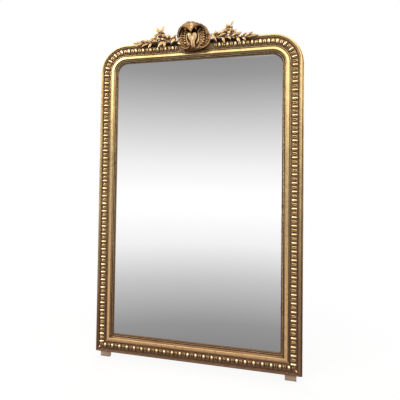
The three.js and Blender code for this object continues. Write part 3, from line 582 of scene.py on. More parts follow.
def silvered_glass(name, tint):
    """A silvered plate with a little foxing at its edge."""
    f = Finish(name, metallic=1.0, roughness=0.02, ior=1.5)
    x, _, z = f.parts(f.where)
    top = (FOOT + FRAME_HEIGHT - MEMBER_WIDTH) * MM
    rim = ((HALF_WIDTH - MEMBER_WIDTH) * MM - abs(x)).at_most(top - z)
    rim = rim.at_most(z - (FOOT + MEMBER_WIDTH) * MM)
    speck = f.noise(f.where, 240.0, 4.0, 0.7)
    patch = f.noise(f.where, 26.0, 3.0)
    foxed = ((speck * 0.6 + patch * 0.4) - (rim / 0.012).at_most(1.0) * 0.45).between(0.5, 0.6)
    f.vary(
        base_color=f.mixed(foxed * 0.6, tint, (0.1, 0.085, 0.07)),
        roughness=0.015 + 0.3 * foxed,
    )
    return f.material


def forged_iron(name, tone):
    """Blackened iron with rust in its pores."""
    f = Finish(name, metallic=0.9, roughness=0.5)
    rust = f.noise(f.where, 160.0, 5.0, 0.65).between(0.48, 0.66)
    pits = f.noise(f.where, 1400.0, 3.0)
    f.vary(
        base_color=f.mixed(rust * 0.8, tone, (0.13, 0.045, 0.018)),
        metallic=0.9 - 0.7 * rust,
        roughness=0.38 + 0.4 * rust,
        normal=f.relief(pits, 0.0003, 0.5),
    )
    return f.material


# ---- Properties


def colour(name, description, default):
    return FloatVectorProperty(
        name=name, description=description, default=default, subtype="COLOR", min=0, max=1
    )


def length(name, description, default):
    return FloatProperty(name=name, description=description, default=default, unit="LENGTH", min=0)


class MirrorColours(PropertyGroup):
    """Colours of the finishes."""

    leaf: colour("Gold leaf", "Bright leaf on the moulding", (0.74, 0.545, 0.295))
    deep_leaf: colour("Toned leaf", "Darker leaf between the bright clouds", (0.51, 0.355, 0.19))
    burnished: colour("Burnished leaf", "Paler leaf on the bosses", (0.84, 0.74, 0.52))
    rosy: colour("Rosy leaf", "Leaf on the split beans", (0.74, 0.50, 0.32))
    crest_leaf: colour("Crest leaf", "Leaf on the carving", (0.62, 0.45, 0.27))
    crest_shade: colour("Crest shade", "Darker leaf on the carving", (0.35, 0.205, 0.108))
    shield_leaf: colour("Shield leaf", "Dull leaf on the shield", (0.47, 0.37, 0.24))
    # Painted shade: how the leaf is darkened toward the floor
    low_tone: colour("Low tone", "How the leaf darkens toward the floor", (0.60, 0.49, 0.51))
    warm_leaf: colour("Warm leaf", "Matt leaf low on the inner moulding", (0.76, 0.485, 0.24))
    bole: colour("Bole", "Red clay under the leaf", (0.36, 0.14, 0.07))
    # Patina, also laid as painted shade in the hollows and creases
    patina_and_shade: colour("Patina", "Dust and wax in the hollows", (0.075, 0.033, 0.016))
    silver: colour("Silvering", "The plate's reflection", (0.975, 0.966, 0.972))
    pine: colour("Pine", "Boards and slips", (0.42, 0.25, 0.13))
    foot: colour("Feet", "Bare wood of the feet", (0.56, 0.37, 0.265))
    iron: colour("Iron", "Hangers", (0.075, 0.065, 0.06))


class MirrorSizes(PropertyGroup):
    """Sizes of the ornament."""

    pitch: length("Ornament pitch", "From one boss to the next", 0.037)
    boss_length: length("Boss length", "Along the member", 0.013)
    boss_width: length("Boss width", "Across the member", 0.0256)
    boss_height: length("Boss height", "Above the floor of the channel", 0.0135)
    bean_length: length("Bean length", "Along the member", 0.0154)
    bean_width: length("Bean width", "Across the member", 0.021)
    bean_height: length("Bean height", "Above the floor of the channel", 0.0095)
    pearl_pitch: length("Pearl pitch", "From one pearl to the next", 0.0057)
    pearl_size: length("Pearl size", "Across one pearl", 0.0052)
    boards: IntProperty(name="Boards", description="Boards in the back", default=5, min=1)


# ---- Stage


class MIRROR_OT_stage(Operator):
    """Lays the floor, lights the studio and sets the camera"""

    bl_idname = "mirror.stage"
    bl_label = "Stage"

    # The camera: focal length and shift in picture widths, yaw, pitch and roll in degrees, and
    # its place in metres from the middle of the back's lower edge
    FOCAL, SHIFT = 309.005 / 400, (-0.5 / 400, -23.4 / 400)
    AIM, STAND = (11.4027, 1.1967, -0.7601), (0.3109, -1.4262, 0.8270)

    def execute(self, context):
        self.floor(context)
        self.studio(context)
        self.lamps(context)
        self.camera(context)
        return {"FINISHED"}

    def floor(self, context):
        half = 6.0
        mesh = bpy.data.meshes.new("floor")
        corners = [(-half, -half, 0), (half, -half, 0), (half, half, 0), (-half, half, 0)]
        mesh.from_pydata(corners, [], [(0, 1, 2, 3)])
        f = Finish("floor_paper", roughness=0.9, specular_ior_level=0.1)
        grain = f.noise(f.where, 300.0)
        f.vary(base_color=f.mixed(grain, (0.82, 0.82, 0.82), (0.86, 0.86, 0.86)))
        paper = Field(f, f.shader.outputs[0])
        seen = f.node("ShaderNodeLightPath", out="Is Camera Ray")
        white = f.node("ShaderNodeEmission", None, {"Color": (1, 1, 1), "Strength": 1.0})
        distance = f.node("ShaderNodeVectorMath", {"operation": "LENGTH"}, {0: f.where}, out=1)
        shown = seen * (0.88 + 0.12 * distance.between(0.4, 1.6))
        mix = f.node("ShaderNodeMixShader", None, {0: shown, 1: paper, 2: white})
        f.tree.links.new(mix.socket, f.tree.nodes["Material Output"].inputs[0])
        mesh.materials.append(f.material)
        floor = bpy.data.objects.new("floor", mesh)
        floor.visible_glossy = False
        context.scene.collection.objects.link(floor)

    def studio(self, context):
        """White behind the object; what metal and glass see is a softly graded room."""
        world = bpy.data.worlds.new("studio")
        context.scene.world = world
        world.use_nodes = True
        g = Graph(world.node_tree)
        away = g.node("ShaderNodeTexCoord", out="Generated")
        across, inward, up = g.parts(away)
        greys = (
            (0.0, 0.195), (0.12, 0.315), (0.24, 0.59), (0.35, 0.915), (0.485, 1.08),
            (0.61, 0.915), (0.745, 0.65), (0.9, 0.335), (1.0, 0.24),
        )
        grade = g.node(
            "ShaderNodeValToRGB",
            {"stops": [(place, (grey,) * 3) for place, grey in greys]},
            {"Fac": up / 0.95 + 0.55},
        )
        ambient = g.node(
            "ShaderNodeValToRGB",
            {"stops": [
                (0.0, (0.10, 0.08, 0.068)), (0.25, (0.17, 0.14, 0.12)), (0.40, (0.32, 0.28, 0.24)),
                (0.50, (0.62, 0.62, 0.52)), (0.57, (0.80, 0.82, 0.67)), (0.64, (1.7, 1.68, 1.35)),
                (0.70, (3.3, 3.2, 2.45)), (0.85, (2.4, 2.3, 1.75)), (1.0, (1.5, 1.42, 1.1)),
            ]},
            {"Fac": up * 0.5 + 0.5},
        )
        ambient = g.mixed(inward.between(-0.1, 0.6) * 0.6, ambient, (0.05, 0.045, 0.04))
        # The graded part of the room lies before the glass, at the heights that it reflects
        before = across.between(-0.66, -0.47) * (1 - across.between(0.10, 0.30))
        level = up.between(-0.58, -0.47) * (1 - up.between(0.375, 0.415))
        room = g.mixed(before * level * (0 - inward).between(0.1, 0.5), ambient, grade)
        # Two windows that metal sees: direction, soft edge and shade
        for toward, wide, narrow, shade in (
            ((-0.72, -0.38, 0.58), 0.93, 0.97, (8.0, 7.6, 6.2)),
            ((0.76, -0.48, 0.44), 0.93, 0.97, (4.0, 3.8, 3.0)),
        ):
            toward = Vector(toward).normalized()
            inputs = {0: away, 1: toward}
            aim = g.node("ShaderNodeVectorMath", {"operation": "DOT_PRODUCT"}, inputs, out=1)
            room = g.mixed(aim.between(wide, narrow), room, shade)
        paths = g.tree.nodes.new("ShaderNodeLightPath")
        glossy = Field(g, paths.outputs["Is Glossy Ray"])
        seen = Field(g, paths.outputs["Is Camera Ray"])
        through = Field(g, paths.outputs["Is Transmission Ray"])
        shade = g.mixed(glossy, (0.6, 0.6, 0.6), room)
        shade = g.mixed((seen + through).clipped(), shade, (1, 1, 1))
        background = world.node_tree.nodes["Background"]
        g.feed(background.inputs[0], shade)

    def lamps(self, context):
        """Soft boxes: place, point that they face, size and power."""
        boxes = {
            "key": ((-1.6, -2.2, 2.6), (0, 0, 0.9), 1.2, 46.0, (1.0, 0.95, 0.86)),
            "fill": ((2.0, -2.0, 1.4), (0, 0, 0.8), 1.4, 16.0, (1.0, 0.97, 0.93)),
            "crown": ((0.2, -0.9, 3.2), (0, 0, 1.2), 0.9, 26.0, (1.0, 0.94, 0.82)),
            "rear": ((-1.0, 2.4, 2.2), (0, 0, 0.8), 1.4, 30.0, (1.0, 1.0, 1.0)),
        }
        for name, (place, aim, size, power, tint) in boxes.items():
            lamp = bpy.data.lights.new(name, "AREA")
            lamp.size = size
            lamp.energy = power
            lamp.color = tint
            holder = bpy.data.objects.new(name, lamp)
            holder.visible_glossy = False
            holder.location = place
            facing = Vector(aim) - Vector(place)
            holder.rotation_euler = facing.to_track_quat("-Z", "Y").to_euler()
            context.scene.collection.objects.link(holder)

    def camera(self, context):
        data = bpy.data.cameras.new("camera")
        data.sensor_width = 36.0
        data.lens = self.FOCAL * data.sensor_width
        data.shift_x, data.shift_y = self.SHIFT
        data.dof.use_dof = False
        camera = bpy.data.objects.new("camera", data)
        yaw, pitch, roll = (math.radians(angle) for angle in self.AIM)
        turn = Matrix.Rotation(yaw, 3, "Z") @ Matrix.Rotation(pitch, 3, "X")
        turn = turn @ Matrix.Rotation(roll, 3, "Y") @ Matrix.Rotation(math.radians(90), 3, "X")
        x, y, z = self.STAND
        place = Matrix.Translation((x, BACK * MM + y, FOOT * MM + z))
        camera.matrix_world = place @ turn.to_4x4()
        context.scene.collection.objects.link(camera)
        context.scene.camera = camera
        context.scene.view_settings.view_transform = "Standard"


# ---- Frame


def moulding_section():
    """The moulding's section: outer lip, ridge, channel, torus, slope, bead seat and rebates."""
    s = [[BOARD_EDGE, 0], [0, 0], [0, LIP_DEPTH - 2.5]]
    s += arc(s[-1], (0.2, LIP_DEPTH), (2.6, LIP_DEPTH), 5)
    s += [[LIP_WIDTH - 0.4, LIP_DEPTH - 0.1], [LIP_WIDTH, LIP_DEPTH - 0.5]]
    s += [[LIP_WIDTH + 0.5, LIP_DEPTH - 1.8], [RIDGE_START - 0.5, LIP_DEPTH - 1.7]]
    s += [[RIDGE_START, LIP_DEPTH - 1.2]]
    middle, end = RIDGE_START + RIDGE_WIDTH * 0.56, RIDGE_START + RIDGE_WIDTH
    top = (middle, RIDGE_DEPTH)
    s += bend(s[-1], (RIDGE_START, RIDGE_DEPTH - 8), (middle - 4, RIDGE_DEPTH), top, 14)
    s += arc(top, (end, RIDGE_DEPTH), (end, RIDGE_DEPTH - 4.2), 8)
    s += [[end + 0.1, RIDGE_DEPTH - 5.2], [end + 0.5, RIDGE_DEPTH - 5.5]]
    s += [[CHANNEL_START - 0.3, RIDGE_DEPTH - 5.8], [CHANNEL_START, RIDGE_DEPTH - 6.1]]
    floor_start, floor_end = CHANNEL_START + CHANNEL_COVE, CHANNEL_END - CHANNEL_COVE
    s += arc(s[-1], (CHANNEL_START, CHANNEL_DEPTH), (floor_start, CHANNEL_DEPTH), 7)
    s += [[floor_end, CHANNEL_DEPTH]]
    s += arc(s[-1], (CHANNEL_END, CHANNEL_DEPTH), (CHANNEL_END, CHANNEL_LIP - 0.3), 7)
    s += [[CHANNEL_END + 0.3, CHANNEL_LIP], [CHANNEL_END + 1.4, CHANNEL_LIP]]
    s += arc(s[-1], (CHANNEL_END + 2.4, CHANNEL_LIP - 3.4), (TORUS_START, CHANNEL_LIP - 3.6), 8)
    brow, crown = (TORUS_START + 2.2, TORUS_DEPTH - 2.0), (TORUS_END - 2.0, TORUS_DEPTH - 0.2)
    s += bend(s[-1], (TORUS_START, brow[1] - 1), (TORUS_START + 0.8, brow[1] - 0.4), brow, 6)
    s += bend(brow, (brow[0] + 2, brow[1] + 0.4), (crown[0] - 1.5, crown[1] + 0.3), crown, 8)
    foot = (TORUS_END, SLOPE_DEPTH + 3)
    s += bend(crown, (TORUS_END - 0.7, TORUS_DEPTH - 0.7), (TORUS_END, TORUS_DEPTH - 3), foot, 9)
    s += [[TORUS_END, SLOPE_DEPTH + 0.3], [TORUS_END + 0.3, SLOPE_DEPTH]]
    low = SLOPE_DEPTH - SLOPE_DROP
    s += arc(s[-1], (TORUS_END + 0.4 * (SLOPE_END - TORUS_END), low), (SLOPE_END - 0.4, low), 8)
    s += [[SLOPE_END, low - 0.4], [SLOPE_END, BEAD_SEAT_DEPTH]]
    s += [[BEAD_SEAT_END, BEAD_SEAT_DEPTH]]
    s += arc(s[-1], (MEMBER_WIDTH, BEAD_SEAT_DEPTH), (MEMBER_WIDTH, SIGHT_BACK), 6)
    s += [[GLASS_EDGE, SIGHT_BACK], [GLASS_EDGE, BOARD_REBATE_DEPTH]]
    return s + [[BOARD_EDGE, BOARD_REBATE_DEPTH]]


class MIRROR_OT_moulding(Operator):
    """Runs the smooth moulding round the frame, and marks where it is dirty, where shade is
    painted, and where it is rubbed
    """

    bl_idname = "mirror.moulding"
    bl_label = "Moulding"

    def execute(self, context):
        c = context.scene.mirror_colours
        gilt = gilding("gilt_moulding", c.leaf, c.deep_leaf, shine=0.21)
        section = moulding_section()
        for name, (place, stations) in RUNS.items():
            shell, marks = swept(section, place, stations)
            marks.update(self.wear(np.array(section), shell[0], stations))
            body = Body().join(shell, **marks)
            make(f"moulding_{name}", body, gilt, [name], crease=50)
        return {"FINISHED"}

    def wear(self, section, points, stations):
        """Dust and painted shade in the hollows and creases, painted shade low down, and painted
        shadow behind the foliage; a rubbed knock under the crest.
        """
        inset, depth = section.T
        channel = (inset >= CHANNEL_START) & (inset <= CHANNEL_END)
        ridge = (inset > LIP_WIDTH + 0.3) & (inset < CHANNEL_START)
        slope = (inset > TORUS_END + 0.5) & (inset < SLOPE_END)
        seat = (inset > SLOPE_END - 0.2) & (inset <= BEAD_SEAT_END)
        # Dust and painted shade in the channel, the creases beside channel and torus, and the bead
        # seat
        dust_and_crease_shade = np.max([
            0.85 * channel * (1 - ramp(depth, CHANNEL_LIP - 3, 3.4)),
            0.8 * hump(inset - CHANNEL_START, 0.9),
            0.7 * hump(inset - TORUS_START, 0.8),
            0.35 * hump(inset - TORUS_END - 0.4, 1.2),
            0.06 * ridge,
            0.05 * slope,
            1.0 * seat,
            0.7 * (inset > BEAD_SEAT_END),
        ], axis=0)
        across, height = points[:, 0], points[:, 2] - FOOT
        away, rise = abs(across + 4), height - FRAME_HEIGHT
        # Painted shade on the ridge along the bottom rail and low on the right stile
        ridge_shade = np.where(height < CHANNEL_START, 0.8, 0.3 * hump(height, 500) * (across > 0))
        # Painted shadow of the foliage on the top rail
        shade = ramp(away, 60, 14) * (1 - ramp(away, 236, 26)) * ramp(rise, -48, 14)
        grime = np.maximum(np.tile(dust_and_crease_shade, stations), np.tile(ridge, stations) * ridge_shade)
        knock = 2.2 * hump(across - 12, 10) * hump(rise + 63, 8)
        return {"grime": np.maximum(grime, 1.8 * shade), "wear": knock}


# ---- Running ornament


def boss(length, width, height):
    """A smooth egg lying across the channel, its head toward the glass."""
    turns = np.linspace(-0.5, math.pi / 2, 11)[:-1]
    domes = [(math.cos(turn), 0.36 + 0.64 * math.sin(turn)) for turn in turns]
    points = stacked([(0.86, 0.0), *domes, (0.02, 1.0)], 26)
    swell = 1 + 0.13 * points[..., 0]
    points[..., 0] *= width / 2
    points[..., 1] *= length / 2 * swell
    points[..., 2] = 1.0 + (height - 1.0) * points[..., 2] * (0.94 + 0.06 * swell)
    points[..., 2] = np.minimum(points[..., 2], height)
    return lattice(points)


def bean(length, width, height, foot):
    """A bean across the channel, split by a groove that dies out at its outer end."""
    shares = [0.97, 0.9, 0.8, 0.68, 0.55, 0.42, 0.3, 0.18, 0.06]
    domes = [(share, math.sqrt(1 - share**2.6) * 0.62 + 0.38) for share in shares]
    points = stacked([(1.0, 0.0), (1.0, 0.25), *domes], 32)
    points[2, :, 2] = 0.5
    x, y, _ = np.moveaxis(points, -1, 0)
    groove = 0.78 * hump(y, 0.2) * ramp(x, -0.75, 0.5)
    points[3:, :, 2] *= 1 - groove[3:]
    points[..., 0] *= width / 2
    points[..., 1] *= length / 2 * (0.92 + 0.1 * points[..., 0] / (width / 2))
    points[..., 2] = foot + (height - foot) * points[..., 2]
    return lattice(points)


def stood(shell, place, t):
    """A piece of the row on the channel's floor, its width across the member."""
    points, faces = shell
    seat = place(ORNAMENT_INSET, CHANNEL_DEPTH, t)
    along = place(ORNAMENT_INSET, CHANNEL_DEPTH, t + 0.0001) - seat
    along /= np.linalg.norm(along)
    inward = np.cross(along, FORWARD)
    if inward.dot(place(ORNAMENT_INSET + 1, CHANNEL_DEPTH, t) - seat) < 0:
        inward = -inward
    return seat + points @ np.array([inward, along, FORWARD]), faces


def ribbon_section():
    low = CHANNEL_START + CHANNEL_COVE + SEAT_GAP
    high = CHANNEL_END - CHANNEL_COVE - SEAT_GAP
    return [[low, CHANNEL_DEPTH], [low, CHANNEL_DEPTH + 1.5], [low + 0.8, CHANNEL_DEPTH + 2],
            [high - 0.8, CHANNEL_DEPTH + 2], [high, CHANNEL_DEPTH + 1.5], [high, CHANNEL_DEPTH]]


class MIRROR_OT_ornament(Operator):
    """Lays the row of bosses and split beans in the channel"""

    bl_idname = "mirror.ornament"
    bl_label = "Running Ornament"

    def execute(self, context):
        c, s = context.scene.mirror_colours, context.scene.mirror_sizes
        bright = gilding("gilt_bosses", c.burnished, c.leaf, 0.22, age=0.5, reach=0.01, low=0.3)
        warm = gilding("gilt_beans", c.rosy, c.leaf, 0.26, age=0.6, reach=0.007, low=0.7)
        self.boss_length, self.bean_length = s.boss_length / MM, s.bean_length / MM
        self.boss = boss(self.boss_length, s.boss_width / MM, s.boss_height / MM)
        self.bean = bean(self.bean_length, s.bean_width / MM, s.bean_height / MM, 1.0)
        rows = {"bottom": self.bottom(s.pitch / MM), **self.arch(s.pitch / MM)}
        for name, (bosses, beans) in rows.items():
            node = f"ornament_{name}"
            make(f"bosses_{name}", bosses, bright, [node])
            make(f"beans_{name}", beans, warm, [node])
        laid = bean(self.bean_length, s.bean_width / MM, s.bean_height / MM, 2.3)
        for name, t in (("left", 0), ("right", 1)):
            body = Body().join(stood(laid, on_bottom, t))
            base, tip = on_bottom(33, 34.4, t), on_bottom(21.5, 36.2, t)
            body.join(blade(base, tip, 11, bow=1.5, curl=0.5))
            make(f"mitre_{name}", body, warm, [f"ornament_mitre_{name}"])
        return {"FINISHED"}

    def started(self, place, stations):
        """A row without bosses yet, and with the flat ribbon that its beans lie on."""
        shell, _ = swept(ribbon_section(), place, stations)
        # Painted shade: the ribbon under the row is darkened
        return Body(), Body().join(shell, grime=0.75)

    def lay(self, row, i, place, t):
        """Bosses and beans by turns."""
        bosses, beans = row
        if i % 2:
            bosses.join(stood(self.boss, place, t))
        else:
            beans.join(stood(self.bean, place, t))

    def bottom(self, pitch):
        row = self.started(on_bottom, 40)
        count = round(2 * (HALF_WIDTH - ORNAMENT_INSET) / pitch)
        for i in range(1, 2 * count):
            self.lay(row, i, on_bottom, i / (2 * count))
        return row

    def arch(self, pitch):
        """Strips that part in the gaps nearest to the frame's joints."""
        count = round(ROW_ARCH / pitch)
        step = ROW_ARCH / (2 * count)

        def nearest_gap(along):
            first = int(along / step) - 1
            lengths = (self.bean_length, self.boss_length)
            gaps = [
                (i + 0.5) * step + (lengths[i % 2] - lengths[(i + 1) % 2]) / 4
                for i in range(first, first + 3)
            ]
            return min(gaps, key=lambda gap: abs(gap - along))

        low, high = nearest_gap(ROW_RISE), nearest_gap(ROW_RISE + ROW_TURN)
        ends = [0, low, high, ROW_ARCH - high, ROW_ARCH - low, ROW_ARCH]
        names = ("left", "corner_left", "top", "corner_right", "right")
        open_from = CREST_RADIUS - HOOD_THICKNESS - CREST_AXIS
        rows = {}
        for name, start, end in zip(names, ends, ends[1:]):
            def place(inset, depth, t, start=start, end=end):
                return on_arch(inset, depth, start + (end - start) * t)

            row = self.started(place, 60)
            for i in range(1, 2 * count):
                along = i * step
                covered = open_from + (self.boss_length / 2 if i % 2 else 0)
                if start < along < end and abs(along - ROW_ARCH / 2) > covered:
                    self.lay(row, i, on_arch, along)
            rows[name] = row
        return rows


# ---- Pearl bead


class MIRROR_OT_pearls(Operator):
    """Strings the pearls along the sight edge"""

    bl_idname = "mirror.pearls"
    bl_label = "Sight Bead"

    def execute(self, context):
        c, s = context.scene.mirror_colours, context.scene.mirror_sizes
        gilt = gilding("gilt_pearls", c.burnished, c.leaf, age=0.5, reach=0.002)
        middle = (SLOPE_END + BEAD_SEAT_END) / 2
        names = {
            "stile_left": "left", "stile_right": "right", "rail_bottom": "bottom",
            "rail_top": "top", "corner_left": "corner_left", "corner_right": "corner_right",
        }
        wire = [(-3.9, 0), (-3.6, 0.7), (3.6, 0.7), (3.9, 0)]
        seat = [[middle + x, BEAD_SEAT_DEPTH + height] for x, height in wire]
        for run, name in names.items():
            place, stations = RUNS[run]
            # Painted shade: the seat under the pearls is painted near black
            body = Body().join(swept(seat, place, stations)[0], grime=1.9)
            ends = place(middle, BEAD_SEAT_DEPTH, np.linspace(0, 1, 60))
            reach = np.linalg.norm(np.diff(ends, axis=0), axis=1).sum()
            count = round(reach / (s.pearl_pitch / MM))
            for i in range(count):
                t = (i + 0.5) / count
                pearl = self.pearl(place(middle, BEAD_SEAT_DEPTH + 0.5, t), s.pearl_size / MM / 2)
                # Painted shade: each pearl is painted near black round its base, where it meets the
                # seat
                body.join(pearl, grime=np.repeat((1.8, 1.2, 0.0, 0.0), 10))
            make(f"pearls_{name}", body, gilt, [f"sight_bead_{name}"])
        return {"FINISHED"}

    def pearl(self, seat, radius):
        turns = (0.0, 0.45, 0.95, 1.5)
        rings = [(radius * math.cos(a), -1.15 * radius * math.sin(a)) for a in turns]
        return lattice(seat + stacked(rings, 10)[..., [0, 2, 1]])


# ---- Glass and back


def arched_outline(inset, low, high):
    """The frame's outline drawn in from its edge, between two heights."""
    half = HALF_WIDTH - inset
    points = [(-half, low), (half, low)]
    if high > SPRINGING:
        radius = ARCH_RADIUS - inset
        turns = np.linspace(0, math.pi / 2, 36)
        middle = HALF_WIDTH - ARCH_RADIUS
        right = [(middle + radius * math.cos(a), SPRINGING + radius * math.sin(a)) for a in turns]
        points += right + [(-x, z) for x, z in reversed(right)]
    else:
        points += [(half, high), (-half, high)]
    return np.array(points)


def eased(outline, back, front, ease):
    """A plate with eased edges."""
    middle = (outline.min(axis=0) + outline.max(axis=0)) / 2
    half = (outline.max(axis=0) - outline.min(axis=0)) / 2
    small = middle + (outline - middle) * (1 - ease / half)
    rows = [spot(p[:, 0], d, p[:, 1]) for p, d in
            ((small, back), (outline, back + ease), (outline, front - ease), (small, front))]
    return lattice(np.array(rows))


class MIRROR_OT_glass(Operator):
    """Fits the silvered plate"""

    bl_idname = "mirror.glass"
    bl_label = "Silvered Plate"

    def execute(self, context):
        silvered = silvered_glass("silvered_plate", context.scene.mirror_colours.silver)
        edge, front = GLASS_EDGE + GLASS_PLAY, SIGHT_BACK - SEAT_GAP
        outline = arched_outline(edge, edge, FRAME_HEIGHT - edge)
        body = Body().join(eased(outline, front - GLASS_THICKNESS, front, 0.6))
        make("plate", body, silvered, ["mirror_plate"], crease=30)
        return {"FINISHED"}


class MIRROR_OT_back(Operator):
    """Boards the back and sets the feet"""

    bl_idname = "mirror.back"
    bl_label = "Back and Feet"

    def execute(self, context):
        c, s = context.scene.mirror_colours, context.scene.mirror_sizes
        pine = pine_wood("back_pine", c.pine, [v * 0.55 for v in c.pine])
        feet = pine_wood("foot_wood", c.foot, [v * 0.6 for v in c.foot])
        inset = BOARD_EDGE + SEAT_GAP
        height = FRAME_HEIGHT - 2 * inset
        pitch = (height + BOARD_JOINT) / s.boards
        front = BOARD_REBATE_DEPTH - SEAT_GAP
        for row in range(s.boards):
            low = inset + row * pitch
            outline = arched_outline(inset, low, low + pitch - BOARD_JOINT)
            body = Body().join(eased(outline, front - BOARD_THICKNESS, front, 0.8))
            make(f"board_{row + 1}", body, pine, [f"backboard_{row + 1}"])
        for side in ("left", "right"):
            low, high = (np.array(corner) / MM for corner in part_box(f"foot_{side}"))
            left, bottom, right, top = low[0], low[2] - FOOT, high[0], high[2] - FOOT
            outline = np.array([(left, bottom), (right, bottom), (right, top), (left, top)])
            body = Body().join(eased(outline, BACK - high[1], BACK - low[1], 1.2))
            make(f"block_{side}", body, feet, [f"foot_{side}"])
        for side in ("left", "right", "bottom", "top"):
            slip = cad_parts[f"glazing_slip_{side}"]
            slip.data.materials.clear()
            slip.data.materials.append(pine)
        return {"FINISHED"}


# ---- Crest

# Sprays, seen from the front: base and tip of each leaf as (across, forward of the stem's bed,
# height), then its width. Flowers have a middle and the tips of their petals.
LEFT_SPRAY = {
    "stem": [(-80, -13), (-125, -4), (-175, -6), (-225, -13), (-280, -13)],
    "leaves": [
        ((-94, 0, 8), (-116, 6, -28), 15), ((-114, 0, 0), (-90, 4, 17), 14),
        ((-142, 0, 0), (-118, 6, 18), 18), ((-118, 0, 0), (-138, 0, 26), 14),
        ((-166, 4, 4), (-188, 8, 0), 14), ((-166, 4, 4), (-144, 8, -5), 15),
        ((-184, 0, -4), (-203, 2, 27), 18), ((-192, 0, -5), (-221, 2, 12), 16),
        ((-178, 2, -6), (-210, 8, -8), 14), ((-212, 0, -14), (-251, 0, 8), 14),
        ((-212, 2, -8), (-227, 8, -45), 13), ((-150, 4, -4), (-180, 8, -42), 19),
        ((-146, 2, -4), (-147, 8, -46), 12), ((-234, 0, -9), (-270, 4, 4), 13),
        ((-232, 0, -10), (-262, 6, -32), 12), ((-246, 0, -9), (-312, 0, -5), 16),
        ((-262, 2, -10), (-294, 6, -28), 12), ((-84, 2, -16), (-62, 20, -2), 13),
        ((-86, 2, -18), (-62, 20, -40), 13),
    ],
    "behind": [
        ((-97, -1, -12), (-106, -1, 18), 18), ((-118, -1, -10), (-134, -1, 24), 20),
        ((-138, -1, -10), (-154, -1, 26), 22), ((-158, -1, -10), (-178, -1, 34), 24),
        ((-186, -1, -14), (-196, -1, 18), 18), ((-208, -1, -16), (-230, -1, 5), 15),
        ((-234, -1, -16), (-262, -1, 2), 13), ((-150, -1, 10), (-164, -1, 44), 20),
        ((-170, -1, 12), (-184, -1, 38), 18),
    ],
    "flower": (-167, 6, 20),
    "petals": [((-190, 2, 62), 17), ((-151, 0, 65), 16), ((-169, 10, 46), 18),
               ((-140, 4, 13), 14), ((-197, 4, 24), 15)],
    "berries": [(-105, -12), (-130, -12), (-199, -12), (-211, -4), (-242, -16)],
}
RIGHT_SPRAY = {
    "stem": [(80, -13), (118, -5), (160, -6), (205, -13), (250, -16)],
    "leaves": [
        ((74, 4, 12), (101, 8, -34), 15), ((86, 0, -4), (98, 4, 23), 14),
        ((104, 0, -6), (146, 2, 28), 22), ((110, 4, -8), (142, 6, 4), 16),
        ((106, 0, -2), (118, 4, 18), 12), ((128, 3, -4), (135, 8, -46), 13),
        ((152, 3, -6), (165, 8, -30), 12), ((176, 0, -8), (189, 0, 23), 13),
        ((166, 2, -8), (198, 6, -2), 15), ((184, 0, -12), (213, 2, 7), 14),
        ((192, 3, -12), (207, 9, -52), 14), ((208, 0, -16), (237, 3, 1), 14),
        ((216, 2, -15), (232, 8, -40), 12), ((230, 0, -17), (263, 4, 2), 14),
        ((230, 0, -18), (289, 0, -12), 18),
    ],
    "behind": [
        ((92, -1, -12), (104, -1, 20), 18), ((110, -1, -12), (126, -1, 26), 20),
        ((130, -1, -12), (150, -1, 30), 23), ((158, -1, -12), (178, -1, 24), 21),
        ((184, -1, -16), (200, -1, 10), 17), ((208, -1, -18), (228, -1, 3), 14),
        ((228, -1, -20), (254, -1, -2), 12), ((140, -1, 12), (146, -1, 38), 18),
        ((160, -1, 10), (170, -1, 40), 16),
    ],
    "flower": (152, 6, 20),
    "petals": [((141, 2, 50), 12), ((178, 0, 62), 10), ((153, 10, 45), 14),
               ((175, 6, 15), 15), ((131, 6, 13), 13), ((159, 4, -5), 14)],
    "berries": [(110, -14), (143, -14), (178, -18), (190, -16), (243, -20)],
}


def hood_wall(angle):
    """Outside radius of the hood: highest left of the middle, drawn in at the right shoulder."""
    return HOOD_RADIUS - 11.5 * hump(angle - 0.45, 0.6) + 4 * hump(angle + 0.36, 0.25)


def ringed(outline, centre, steps):
    """A closed body from rings: each step is a share of the outline and a depth, or depths."""
    rows = []
    for share, depth in steps:
        flat = centre + (outline - centre) * share
        rows.append(crest_spot(CREST_AXIS + flat[:, 0], depth, flat[:, 1]))
    return lattice(np.array(rows))


